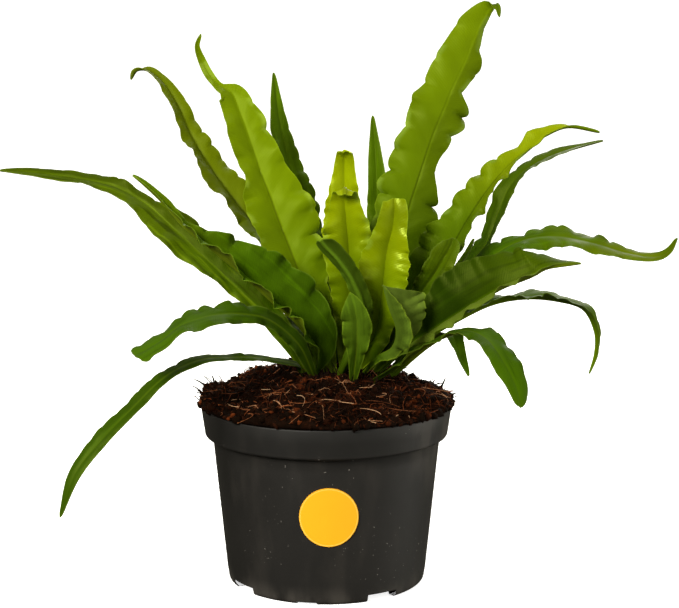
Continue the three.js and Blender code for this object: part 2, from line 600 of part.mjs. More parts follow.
// The skin of a frond. Both faces get the same diagonals, so that they never cross.
function frondGeometry(frond) {
  const rings = frondRings(frond);
  const { across } = DETAIL[frond.size];
  const positions = [];
  const index = [];
  const count = rings[0].length;
  for (const ring of rings) {
    for (const point of ring) positions.push(point.x, point.y, point.z);
  }
  const quad = (a, b, c, d) => index.push(a, b, c, a, c, d);
  for (let r = 0; r + 1 < rings.length; r++) {
    for (let k = 0; k < count; k++) {
      const a = r * count + k;
      const b = r * count + ((k + 1) % count);
      if (k < across) quad(a, a + count, b + count, b);
      else quad(b, a, a + count, b + count);
    }
  }
  for (const [r, forwards] of [[0, true], [rings.length - 1, false]]) {
    for (let k = 0; k < across; k++) {
      const a = r * count + k;
      const b = r * count + k + 1;
      const c = r * count + (count - 2 - k);
      const d = r * count + (count - 1 - k);
      if (forwards) quad(a, b, c, d);
      else quad(d, c, b, a);
    }
  }
  const geometry = new THREE.BufferGeometry();
  geometry.setAttribute("position", new THREE.Float32BufferAttribute(positions, 3));
  geometry.setIndex(index);
  return geometry;
}

function piece(name, geometry, look) {
  const mesh = new THREE.Mesh(geometry, new THREE.MeshStandardMaterial(look));
  mesh.name = name;
  return mesh;
}

const fern = new THREE.Group();
fern.add(piece("pot", potGeometry(), POT_BLACK));
fern.add(piece("label", labelGeometry(), LABEL_YELLOW));
fern.add(piece("soil", soilGeometry(), PEAT_BROWN));
fern.add(piece("crown", crownGeometry(), CROWN_BROWN));
for (const [name, frond] of Object.entries(FRONDS)) {
  fern.add(piece(`frond_${name}`, frondGeometry(frond), LEAF_GREEN));
}

export default fern;
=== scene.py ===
"""A potted birds nest fern on a pale floor. Sizes are in millimetres, the scene in metres.
+Z is up, -Y is the front and +X is right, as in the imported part."""

import itertools
import math

import bpy
import numpy as np
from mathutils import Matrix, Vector


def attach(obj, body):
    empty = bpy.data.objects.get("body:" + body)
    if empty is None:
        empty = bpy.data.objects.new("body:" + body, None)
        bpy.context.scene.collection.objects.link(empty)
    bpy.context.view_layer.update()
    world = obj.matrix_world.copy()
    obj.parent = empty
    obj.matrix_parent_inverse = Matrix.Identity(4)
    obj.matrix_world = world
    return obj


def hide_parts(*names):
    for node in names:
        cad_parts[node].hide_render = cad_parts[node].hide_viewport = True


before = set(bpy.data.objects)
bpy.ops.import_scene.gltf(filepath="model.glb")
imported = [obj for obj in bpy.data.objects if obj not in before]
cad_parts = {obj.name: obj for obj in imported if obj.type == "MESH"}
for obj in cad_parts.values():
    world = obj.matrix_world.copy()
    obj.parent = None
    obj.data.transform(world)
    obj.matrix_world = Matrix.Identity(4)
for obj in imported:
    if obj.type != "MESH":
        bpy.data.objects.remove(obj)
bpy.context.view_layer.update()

MM = 0.001
FULL_TURN = 2 * math.pi

# The pot
RIM_RADIUS = 75.4
POT_HEIGHT = 107.7
FOOT_RADIUS = 59.5
WALL = 1.5
COLLAR_HEIGHT = 17.5
COLLAR_TAPER = 2.2
COLLAR_STEP = 4.6
COLLAR_HOLLOW = 1.2
COLLAR_ROUNDING = 1.8
RIM_ROUNDING = 0.75
SHOULDER_RISE = 2.5
FLOOR_HEIGHT = 6.5
FOOT_RING_WIDTH = 7.0
FOOT_ROUNDING = 3.0
NOTCH_COUNT = 8
NOTCH_LENGTH = 28
WIDE_NOTCH_ANGLE = -56
WIDE_NOTCH = (20.0, 4.8)
SMALL_NOTCH = (12.0, 1.5)
DRAIN_RADIUS = 5.0
DRAIN_CIRCLE = 46.0
POT_SIDES = 192
COLLAR_BOTTOM = POT_HEIGHT - COLLAR_HEIGHT
COLLAR_FOOT_RADIUS = RIM_RADIUS - COLLAR_TAPER
BODY_TOP_RADIUS = COLLAR_FOOT_RADIUS - COLLAR_STEP

# The label
LABEL_RADIUS = 17.2
LABEL_X = 1.8
LABEL_Z = 54.5
LABEL_STRETCH = 1.04
LABEL_LIFT = 0.35
LABEL_THICKNESS = 0.5

# The soil and the crown
CROWN_X = 12.0
CROWN_Y = -1.0
CROWN_RADIUS = 33.0
CROWN_TOP = 127.5
CROWN_DROP = 4.5
CROWN_SPREAD = 1.3
SOIL_TOP = 128.5
SOIL_EDGE_RISE = 4.5
SOIL_OVERHANG = 1.2
SOIL_RADIUS = RIM_RADIUS + SOIL_OVERHANG
# How high the clods, the lumps and the grains of the mound's surface are, and how far across
CLODS = ((2.6, 12, 1), (2.0, 5, 2), (0.9, 2.1, 3))
SUNK = 1.2
SUNK_ON_THE_RIGHT = 2.6

# The blades
BLADE_THICKNESS = 0.6
RIB_DEPTH = 1.7
RIB_WIDTH = 1.3
GROOVE_DEPTH = 0.12
GROOVE_WIDTH = 0.9
TIP_HALF_WIDTH = 0.8
STALK_HALF_WIDTH = 2.3
STALK_DEPTH = 6
ROUND_TIP = 4.2
STATIONS_PER_MM = 0.75
FEWEST_STATIONS, MOST_STATIONS = 60, 190
# Sizes of the stray, the coarse, the medium and the small unevenness of the edges
UNEVEN = (38, 21, 10, 4.2)
LOBE_LENGTH = 7
LOBE_GROWTH = 0.45
CRISP_LENGTH = 8.5
SHORT_PLEAT = 6.5
LONG_PLEAT = 17
VEIN_SPACING = 1.5

# Linear colours of the leaves
YOUNG = (0.270, 0.330, 0.0006)
LIME = (0.145, 0.215, 0.0004)
TALL = (0.100, 0.160, 0.0003)
FRESH = (0.085, 0.145, 0.0006)
OLIVE = (0.085, 0.115, 0.0006)
WARM = (0.062, 0.098, 0.0006)
AGED = (0.048, 0.078, 0.0004)
MATURE = (0.036, 0.082, 0.0004)
DEEP = (0.022, 0.050, 0.0006)
SHADED = (0.048, 0.094, 0.0006)
PALE_UNDER = (0.100, 0.140, 0.004)
FRONT = (0.060, 0.112, 0.005)
HOOD = (0.058, 0.098, 0.008)
HOOD_UNDER = (0.092, 0.142, 0.016)
# Dark stalk green, which also paints the shade at the feet of the blades
STALK_GREEN = (0.022, 0.042, 0.0006)
LEAF_SHEEN = (0.80, 1.0, 0.15)

# Each frond: its foot on the crown, how many waves its edges have and how high they are, how far
# its left and its right half fold up in degrees, the side of the rosette that its blade belongs to
# (None is the way it grows), and its midrib as (x, y, z, width of the left half, width of the
# right half) up to the tip
FRONDS = {
    "left_long": ((-12, 3), 7, 2.4, (-22, 42), 128, [
        (-22, 6, 142, 4.5, 7), (-45, 11, 167, 4.5, 12), (-69, 19, 189, 8.5, 14),
        (-91, 28, 208, 12.5, 12), (-112, 37, 225, 9, 5.5), (-133, 44, 235, 6, 6),
        (-165, 52, 240, 5, 4.5), (-186, 57, 242, 4, 3.5), (-204, 60, 243, 1, 1)]),
    "left_upper": ((-7, -6), 6, 2.4, (74, 16), 116, [
        (-6, -9, 143, 8, 13), (-16, -15, 158, 12, 22), (-32, -18, 173, 14, 25),
        (-50, -21, 190, 12, 20), (-67, -24, 205, 10, 10.5), (-82, -26, 218, 7, 3.5),
        (-92, -27, 230, 4, 3.5), (-103, -28, 241, 2.5, 2.5), (-111, -28, 248, 1, 1)]),
    "left_curl": ((0, 8), 7, 2.6, (16, 16), 118, [
        (-11, 16, 162, 8, 8), (-30, 28, 194, 10.5, 13), (-53, 44, 221, 10, 13),
        (-70, 56, 242, 10, 10.5), (-84, 66, 263, 7, 8), (-92.5, 74, 281, 7, 6),
        (-102.5, 80, 296, 4.5, 4.5), (-113, 84, 304, 3, 3.5), (-121, 85, 303.5, 2, 2),
        (-124, 84, 298, 1, 1)]),
    "left_bright": ((4, 2), 7, 2.2, (12, 12), 104, [
        (-3, 4, 152, 8, 8), (-15, 9, 182, 13, 17), (-28, 16, 214, 17, 23.5),
        (-34, 20, 230, 17, 21), (-40, 24, 245, 11.5, 16), (-48, 30, 268, 13, 13.5),
        (-54, 35, 284, 10.5, 10), (-57, 37, 291, 10, 7.5), (-60.5, 37.5, 294, 8, 4.5),
        (-65, 38, 296.5, 4.5, 2), (-71, 39, 303, 3.5, 2.5), (-75.5, 39, 312, 2.8, 2.2),
        (-78, 36, 320, 1.6, 1.6), (-75.5, 34, 327, 1, 1)]),
    "back_left_dark": ((2, 17), 5, 2, (16, 16), None, [
        (1, 26, 154, 6, 6), (-9, 48, 194, 11, 10), (-18, 66, 227, 10, 10),
        (-26, 80, 254, 9.5, 6.5), (-31, 90, 278, 6.5, 4), (-34, 96, 302, 1, 1)]),
    "young_back": ((11, 11), 4, 1.2, (14, 14), 90, [
        (12, 16, 152, 6, 6), (12, 20, 182, 11, 10), (12, 21, 212, 15, 11), (11, 19, 243, 8, 7),
        (11, 17, 253, 6, 6), (11, 14, 258, 5, 5), (11, 11, 258.5, 4.5, 4.5)]),
    "young_middle": ((10, 3), 4, 1.4, (16, 16), 90, [
        (12, 3, 150, 7, 7), (14, 2, 178, 12, 12), (13, 1, 205, 16.5, 15), (11, -2, 228, 9.5, 10.5),
        (11, -6, 236, 7.5, 8), (11, -10, 238, 7, 7), (11, -13, 235, 6.5, 6.5)]),
    "young_front": ((17, -6), 5, 1.8, (20, 20), 84, [
        (28, -15, 150, 8, 9), (32, -17, 170, 11, 12), (34, -17, 190, 16, 16),
        (36, -17, 204, 13, 14), (39, -18, 216, 10.5, 9.5), (40, -18, 226, 8.5, 8.5),
        (40, -17, 231, 7, 7)]),
    "back_centre_dark": ((15, 21), 4, 1.6, (16, 16), None, [
        (22, 32, 153, 6, 6), (30, 54, 187, 7.5, 9), (31.5, 72, 220, 6, 9), (31, 84, 247, 5, 5),
        (29, 92, 275, 1, 1)]),
    "tall_right": ((21, 8), 9, 2.2, (10, -20), 80, [
        (29, 14, 152, 10, 10), (39, 22, 184, 16, 12), (50, 29, 223, 21, 19), (55, 33, 238, 21, 12),
        (60, 37, 253, 20, 9), (65, 41, 267, 19, 12), (71, 45, 281, 20, 17), (77, 49, 295, 18, 8),
        (84, 53, 309, 17, 11), (89, 57, 321, 15, 6), (94, 60, 332, 12.5, 4), (99, 60, 341, 8, 3),
        (102, 59, 344, 4, 3), (105, 57, 343, 2, 2), (106, 55, 337, 1, 1)]),
    "right_bright": ((27, 1), 8, 2, (14, 30), 70, [
        (41, -1, 150, 8, 8), (57, -1, 176, 14, 9), (72, 1, 198, 19, 8), (84, 4, 218, 14, 7.5),
        (95, 8, 234, 12.5, 6), (107, 12, 248, 9, 4.5), (119, 16, 258, 6, 2.5),
        (126, 18, 263.5, 8.5, 1.8), (131, 19, 267.5, 6, 2), (145, 21, 272.5, 3, 1.8),
        (164, 20, 269.5, 1, 1)]),
    "right_arch": ((31, 20), 5, 1.8, (14, 14), 40, [
        (48, 32, 150, 6, 6), (76, 46, 175, 8, 9.5), (98, 56, 195, 7, 6.5), (107, 61, 215, 8, 6),
        (115, 64, 233, 7, 6), (128, 67, 245, 6.5, 8), (147, 69, 253.5, 5, 7),
        (173, 69, 261, 1, 1)]),
    "right_long": ((38, 0), 6, 1.8, (30, -30), 0, [
        (57, 4, 150, 6, 6), (81, 12, 176, 9, 9), (99, 15, 194, 9, 11), (118, 15, 204.5, 7.5, 11),
        (138, 11, 207.5, 9, 11), (159, 3, 204.5, 7.5, 9.5), (178, -4, 199.5, 5, 7),
        (193, -11, 198, 4, 4), (201, -15, 202, 3, 3), (205, -18, 210, 1, 1)]),
    "right_broad": ((29, -9), 7, 2, (8, 64), 64, [
        (46, -20, 145, 8, 6), (66, -29, 160, 19, 15), (84, -35, 173, 25, 16),
        (102, -40, 184, 21, 14), (118, -43, 191, 18.5, 12), (127, -44, 196, 11, 4),
        (146, -44, 199, 1, 1)]),
    "right_droop_far": ((38, 9), 5, 1.6, (14, 14), None, [
        (60, 13, 145, 5, 5), (83, 22, 157, 9, 9), (103, 27, 165, 9.5, 9.5),
        (123, 27, 168, 9.5, 9.5), (142, 22, 167, 9, 9), (156, 14, 163, 8.5, 8.5),
        (162, 4, 151, 8, 8), (161.5, -3, 139, 6.5, 6.5), (157.5, -8, 127, 1, 1)]),
    "right_droop_near": ((28, -18), 5, 1.6, (8, -14), None, [
        (43, -31, 138, 5, 6), (59, -49, 153.5, 5.5, 7.5), (76.5, -63, 163, 8.5, 6.5),
        (88.5, -77, 162, 9, 7), (97, -90, 153, 10, 8), (104.5, -100, 139, 8, 6.5),
        (107, -106, 128, 3, 3)]),
    "right_small_hang": ((38, -8), 3, 1, (16, 16), -60, [
        (56, -12, 142, 4, 4), (68, -17, 151, 5, 5), (74, -22, 153, 6, 6), (77, -27, 147, 4.5, 4.5),
        (80, -31, 139, 3, 3), (83.5, -34, 131, 1, 1)]),
    "front_right_curl": ((20, -13), 3, 1.4, (-72, -50), 10, [
        (29, -26, 141, 4, 4), (38, -38, 149, 9, 7), (40, -46, 161, 21, 11), (36, -49, 173, 23, 9),
        (33.5, -50, 182, 10, 4), (32.5, -50, 187, 1, 1)]),
    "front_centre": ((16, -22), 3, 0.8, (12, 12), 90, [
        (17.5, -32, 143, 5, 5), (18, -38, 153, 8, 7.5), (18, -43, 165, 9.5, 8.5),
        (16.5, -46, 174, 7.5, 5.5), (14, -47, 182, 1.5, 1.5)]),
    "front_dark_fold": ((8, -13), 3, 1, (24, 24), None, [
        (18, -21, 150, 5, 5), (22, -29, 168, 5.5, 5.5), (16, -35, 186, 6.5, 6.5),
        (8, -39, 199, 7, 8), (0, -42, 208, 6.5, 7.5), (-3, -44, 212, 4.5, 5)]),
    "left_low_curl": ((-7, -14), 6, 1.6, (-42, 32), 160, [
        (-16, -30, 149, 5, 5), (-32, -46, 166, 4.5, 5.5), (-47, -60, 172, 6, 7.5),
        (-63, -73, 173.5, 8, 9), (-79, -84, 170, 10, 9), (-89, -92, 163.5, 8.5, 10),
        (-97, -97, 159, 8.5, 8.5), (-101, -99, 157, 7, 6.5), (-103, -100, 156, 4, 4)]),
    "left_bottom": ((-14, -9), 6, 1.2, (-34, 24), None, [
        (-16, -11, 133, 3, 3), (-25, -24, 138, 3.2, 3.2), (-38, -40, 143, 3.2, 3.2),
        (-54, -54, 146, 3, 3.5), (-71, -68, 147, 3.5, 4), (-89, -82, 140.5, 3.8, 4.6),
        (-107.5, -94, 124, 4.2, 5.4), (-123.5, -104, 108.5, 4.2, 5.5), (-137, -110, 91, 3.8, 4.2),
        (-145, -113, 68, 1, 1)]),
    "back_right_dark": ((32, 11), 3, 1.4, (16, 16), None, [
        (46, 22, 150, 5, 5), (66, 28, 168, 5.5, 5.5), (79, 33, 183, 4.5, 4.5), (87, 35, 195, 3, 3),
        (90, 36, 203, 1, 1)]),
    "right_inner_small": ((25, -4), 3, 1.2, (16, 16), 75, [
        (39, -8, 152, 4, 4), (52, -10, 170, 6, 6), (63, -11, 186, 8, 8), (70, -11, 198, 8.5, 8),
        (74, -10, 205, 6, 6), (75, -9, 209, 3, 3)]),
    "back_arch_left": ((-6, 14), 5, 2, (16, 16), None, [
        (-14, 30, 146, 8, 8), (-30, 54, 168, 13, 13), (-46, 78, 182, 14, 14),
        (-58, 98, 180, 11, 11), (-65, 110, 168, 6, 6), (-68, 114, 161, 1, 1)]),
    "back_arch_middle": ((8, 24), 5, 2, (16, 16), None, [
        (6, 40, 150, 8, 8), (2, 62, 176, 14, 14), (-3, 86, 190, 15, 15), (-7, 104, 184, 11, 11),
        (-9, 114, 168, 1, 1)]),
    "back_arch_right": ((22, 24), 5, 2, (16, 16), None, [
        (28, 42, 146, 8, 8), (38, 66, 164, 13, 13), (50, 90, 172, 13, 13), (58, 105, 164, 9, 9),
        (62, 114, 150, 1, 1)]),
}

# What each frond looks like: colour near the foot, whose darkness is partly painted shade deep in
# the rosette, colour in the middle and at the tip, colour of its underside, and how strongly its
# edges are ruffled
BACK_LOOK = (DEEP, MATURE, WARM, PALE_UNDER, 1.2)
LOOKS = {
    "left_long": (MATURE, AGED, AGED, WARM, 1.1),
    "left_upper": (DEEP, MATURE, WARM, PALE_UNDER, 2.8),
    "left_curl": (MATURE, OLIVE, OLIVE, PALE_UNDER, 2.2),
    "left_bright": (FRESH, LIME, LIME, LIME, 1.6),
    "back_left_dark": (DEEP, SHADED, SHADED, SHADED, 1.8),
    "young_back": (FRESH, YOUNG, YOUNG, YOUNG, 1.6),
    "young_middle": (FRESH, LIME, YOUNG, YOUNG, 1.8),
    "young_front": (MATURE, LIME, YOUNG, YOUNG, 2.0),
    "back_centre_dark": (DEEP, SHADED, SHADED, SHADED, 1.0),
    "tall_right": (MATURE, TALL, LIME, TALL, 2.2),
    "right_bright": (MATURE, FRESH, YOUNG, LIME, 2.3),
    "right_arch": (DEEP, DEEP, AGED, PALE_UNDER, 1.1),
    "right_long": (DEEP, MATURE, OLIVE, FRESH, 1.3),
    "right_broad": (DEEP, DEEP, FRESH, PALE_UNDER, 1.8),
    "right_droop_far": (DEEP, MATURE, WARM, FRESH, 1.1),
    "right_droop_near": (DEEP, DEEP, MATURE, PALE_UNDER, 1.3),
    "right_small_hang": (DEEP, MATURE, MATURE, PALE_UNDER, 1.0),
    "front_right_curl": (MATURE, HOOD, HOOD, HOOD_UNDER, 2.8),
    "front_centre": (DEEP, FRONT, FRONT, PALE_UNDER, 1.2),
    "front_dark_fold": (MATURE, FRONT, FRONT, FRONT, 1.3),
    "left_low_curl": (DEEP, DEEP, MATURE, MATURE, 1.5),
    "left_bottom": (DEEP, DEEP, DEEP, DEEP, 1.1),
    "back_right_dark": (DEEP, SHADED, SHADED, DEEP, 1.0),
    "right_inner_small": (DEEP, DEEP, AGED, WARM, 2.6),
}
# How far the blunt ends of some fronds reach out, and how much they draw in
LIPS = {
    "young_back": (1.6, 0.1), "young_middle": (0.4, 0.35), "young_front": (2.6, 0.0),
    "left_low_curl": (1.4, -0.7),
}
# Fronds with painted light (above 1) and painted shade (below 1) on one half: the half's side, and
# how bright it is
PAINTED_HALVES = {
    "front_dark_fold": (1, 0.55), "left_bright": (1, 0.85), "tall_right": (-1, 0.68),
    "left_curl": (-1, 1.3), "left_long": (-1, 0.7), "right_broad": (1, 0.54),
    "left_upper": (1, 1.2), "right_bright": (-1, 0.75),
}
# Fronds with closely crimped edges, and the length of their crimps
CRIMPS = {
    "young_back": 7.4, "young_middle": 7.4, "young_front": 7.4,
    "front_right_curl": 5.2, "right_inner_small": 6.0,
}
# Old fronds whose right half is pale
STRIPS = {"right_broad": (0.105, 0.150, 0.014)}
SLOTS = {
    "leaf_young": ("young_back", "young_middle", "young_front"),
    "leaf_mid": ("left_curl", "left_bright", "tall_right", "right_bright"),
    "leaf_dark": ("back_left_dark", "back_centre_dark", "front_dark_fold", "back_right_dark"),
}
# How each kind of leaf shines: its roughness, its gloss and its share of light that shines through
SHINE = {
    "leaf_young": (0.22, 0.40, 0.38), "leaf_mid": (0.36, 0.16, 0.38),
    "leaf_mature": (0.36, 0.09, 0.22), "leaf_dark": (0.36, 0.09, 0.22),
}
# The dark, the middle and the light colour of each kind of loose soil
SOIL_COLOURS = {
    # The mound's near-black colours are the peat's dark brown and painted shade in the hollows
    "peat_mound": ((0.0006, 0.0002, 0.0001), (0.005, 0.0011, 0.0003), (0.045, 0.009, 0.002)),
    "peat_crumbs": ((0.0010, 0.0004, 0.0001), (0.011, 0.0022, 0.0006), (0.085, 0.018, 0.004)),
    "husk": ((0.003, 0.001, 0.0004), (0.050, 0.011, 0.003), (0.24, 0.070, 0.022)),
    "coir": ((0.012, 0.003, 0.001), (0.140, 0.034, 0.010), (0.52, 0.27, 0.14)),
    "pale_coir": ((0.03, 0.008, 0.003), (0.22, 0.075, 0.028), (0.50, 0.30, 0.17)),
    "root": ((0.002, 0.0008, 0.0004), (0.010, 0.003, 0.0015), (0.05, 0.02, 0.01)),
}


def lit(colour, factor, added=0.0):
    """A colour made brighter or darker."""
    return tuple(value * factor + added for value in colour)



class Socket:
    """A value in a material. Arithmetic on it adds Math nodes."""

    def __init__(self, finish, link):
        self.finish = finish
        self.link = link

    def math(self, operation, *values):
        inputs = dict(enumerate(values))
        return self.finish.node("ShaderNodeMath", dict(operation=operation), inputs)

    def __add__(self, other): return self.math("ADD", self, other)
    def __radd__(self, other): return self.math("ADD", other, self)
    def __sub__(self, other): return self.math("SUBTRACT", self, other)
    def __rsub__(self, other): return self.math("SUBTRACT", other, self)
    def __mul__(self, other): return self.math("MULTIPLY", self, other)
    def __rmul__(self, other): return self.math("MULTIPLY", other, self)
    def __truediv__(self, other): return self.math("DIVIDE", self, other)
    def __abs__(self): return self.math("ABSOLUTE", self)
    def sine(self): return self.math("SINE", self)

    def ease(self, low, high):
        """0 below low, 1 above high and smooth between them."""
        return self.finish.node(
            "ShaderNodeMapRange", dict(interpolation_type="SMOOTHSTEP", clamp=True),
            {"Value": self, "From Min": low, "From Max": high})


class Finish:
    """A material in the making."""

    def __init__(self, name):
        self.material = bpy.data.materials.new(name)
        self.material.use_nodes = True
        self.tree = self.material.node_tree
        self.tree.nodes.clear()

    def node(self, kind, settings=None, inputs=None, output=0):
        """Adds a node: its settings first, then the values or links of its sockets."""
        made = self.tree.nodes.new(kind)
        for key, value in (settings or {}).items():
            if key == "stops":
                ramp = made.color_ramp
                while len(ramp.elements) < len(value):
                    ramp.elements.new(0.5)
                for element, (place, colour) in zip(ramp.elements, value):
                    element.position = place
                    element.color = (*colour, 1)
            else:
                setattr(made, key, value)
        for key, value in (inputs or {}).items():
            socket = made.inputs[key]
            if isinstance(value, Socket):
                self.tree.links.new(value.link, socket)
            elif socket.type == "RGBA":
                socket.default_value = (*value, 1)
            else:
                socket.default_value = value
        return Socket(self, made.outputs[output])

    def attribute(self, name):
        """A value that the mesh carries on its points."""
        return self.node("ShaderNodeAttribute", dict(attribute_name=name), output=2)

    def place(self):
        return self.node("ShaderNodeTexCoord", output=3)

    def coordinates(self):
        """The place in metres, as its three separate values."""
        place = self.place()
        return [self.node("ShaderNodeSeparateXYZ", None, {0: place}, axis) for axis in range(3)]

    def streaks(self, along, across, length, width, seed):
        """Noise drawn out along a leaf, in streaks about length by width millimetres."""
        laid = self.node("ShaderNodeCombineXYZ", None, {
            "X": along / length, "Y": across / width, "Z": seed})
        return self.node("ShaderNodeTexNoise", dict(noise_dimensions="3D"), {
            "Vector": laid, "Scale": 1.0, "Detail": 2.0})

    def noise(self, size, detail=2.0, roughness=0.5, stretch=(1, 1, 1)):
        """Cloudy noise whose clouds are about size millimetres across."""
        scaled = self.node("ShaderNodeVectorMath", dict(operation="MULTIPLY"),
                           {0: self.place(), 1: tuple(s / (size * MM) for s in stretch)})
        return self.node("ShaderNodeTexNoise", dict(noise_dimensions="3D"), {
            "Vector": scaled, "Scale": 1.0, "Detail": detail, "Roughness": roughness})

    def mix(self, share, first, second, blend="MIX"):
        """Colour that goes from first to second as share goes from 0 to 1."""
        return self.node(
            "ShaderNodeMix", dict(data_type="RGBA", blend_type=blend, clamp_factor=True),
            {0: share, 6: first, 7: second}, output=2)

    def ramp(self, value, *stops):
        """Colour by value, from stops of (value, colour)."""
        return self.node("ShaderNodeValToRGB", dict(stops=stops), {"Fac": value})

    def bump(self, height, depth, strength=1.0):
        """A normal from a height between 0 and 1 that stands for depth millimetres."""
        return self.node("ShaderNodeBump", None, {
            "Height": height, "Distance": depth * MM, "Strength": strength})

    def principled(self, **inputs):
        return self.node("ShaderNodeBsdfPrincipled", None,
                         {key.replace("_", " "): value for key, value in inputs.items()})

    def done(self, surface):
        output = self.tree.nodes.new("ShaderNodeOutputMaterial")
        self.tree.links.new(surface.link, output.inputs["Surface"])
        return self.material


def mesh_piece(name, points, faces, material, values=None, sharp=None):
    """A mesh object from points in millimetres, with float values on its points."""
    mesh = bpy.data.meshes.new(name)
    mesh.from_pydata((np.asarray(points, float) * MM).tolist(), [], np.asarray(faces).tolist())
    for key, data in (values or {}).items():
        attribute = mesh.attributes.new(key, "FLOAT", "POINT")
        attribute.data.foreach_set("value", np.asarray(data, np.float32))
    mesh.polygons.foreach_set("use_smooth", np.ones(len(mesh.polygons), bool))
    if sharp is not None:
        mesh.set_sharp_from_angle(angle=math.radians(sharp))
    mesh.materials.append(material)
    mesh.validate()
    piece = bpy.data.objects.new(name, mesh)
    bpy.context.scene.collection.objects.link(piece)
    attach(piece, "root")
    return piece


def ring_faces(rows, count, closed=True):
    """Quads of a grid of rows, each with count points, closed round each row if asked."""
    across = count if closed else count - 1
    row, column = np.meshgrid(np.arange(rows - 1), np.arange(across), indexing="ij")
    following = (column + 1) % count
    corners = [row * count + column, row * count + following,
               (row + 1) * count + following, (row + 1) * count + column]
    return np.stack(corners, -1).reshape(-1, 4)


def lathe(profile, sides):
    """Points and quads of a closed profile of (radius, height) turned round Z."""
    angles = np.arange(sides) * FULL_TURN / sides
    profile = np.asarray(profile, float)
    points = np.stack([np.outer(np.cos(angles), profile[:, 0]),
                       np.outer(np.sin(angles), profile[:, 0]),
                       np.broadcast_to(profile[:, 1], (sides, len(profile)))], -1)
    faces = ring_faces(sides + 1, len(profile), closed=False) % (sides * len(profile))
    return points.reshape(-1, 3), faces


# Fronds

def curve_at(points, share):
    """Smooth curve through points, at shares of its parameter from 0 to 1."""
    points = np.asarray(points, float)
    spans = len(points) - 1
    place = np.clip(share, 0, 1) * spans
    span = np.minimum(place.astype(int), spans - 1)
    w = (place - span)[:, None]
    wide = np.vstack([2 * points[0] - points[1], points, 2 * points[-1] - points[-2]])
    a, b, c, d = (wide[span + k] for k in range(4))
    leave, arrive = (c - a) / 2, (d - b) / 2
    return (b + leave * w + (3 * (c - b) - 2 * leave - arrive) * w ** 2
            + (2 * (b - c) + leave + arrive) * w ** 3)


def even_shares(points, count):
    """Parameters of count + 1 places at equal distances along the curve, and its length."""
    fine = np.linspace(0, 1, 601)
    steps = np.linalg.norm(np.diff(curve_at(points, fine), axis=0), axis=1)
    run = np.concatenate([[0], np.cumsum(steps)])
    return np.interp(np.linspace(0, run[-1], count + 1), run, fine), run[-1]


def wander(distance, size, seed):
    """Smooth random values between -1 and 1 that change over about size millimetres."""
    table = np.random.default_rng(seed).uniform(-1, 1, 256)
    place = np.asarray(distance) / size + 9
    step = np.floor(place).astype(int)
    w = place - step
    w = w * w * (3 - 2 * w)
    return table[step % 256] * (1 - w) + table[(step + 1) % 256] * w


def crown_height(x, y):
    """The crown's top, which falls off from its middle."""
    reach = np.hypot(x - CROWN_X, y - CROWN_Y) / CROWN_RADIUS
    return CROWN_TOP - CROWN_DROP * np.minimum(reach, CROWN_SPREAD) ** 2


HALF_ACROSS = np.array([1, 0.975, 0.93, 0.86, 0.77, 0.67, 0.56, 0.45, 0.34, 0.23, 0.14, 0.07])
ACROSS = np.concatenate([-HALF_ACROSS, [0], HALF_ACROSS[::-1]])


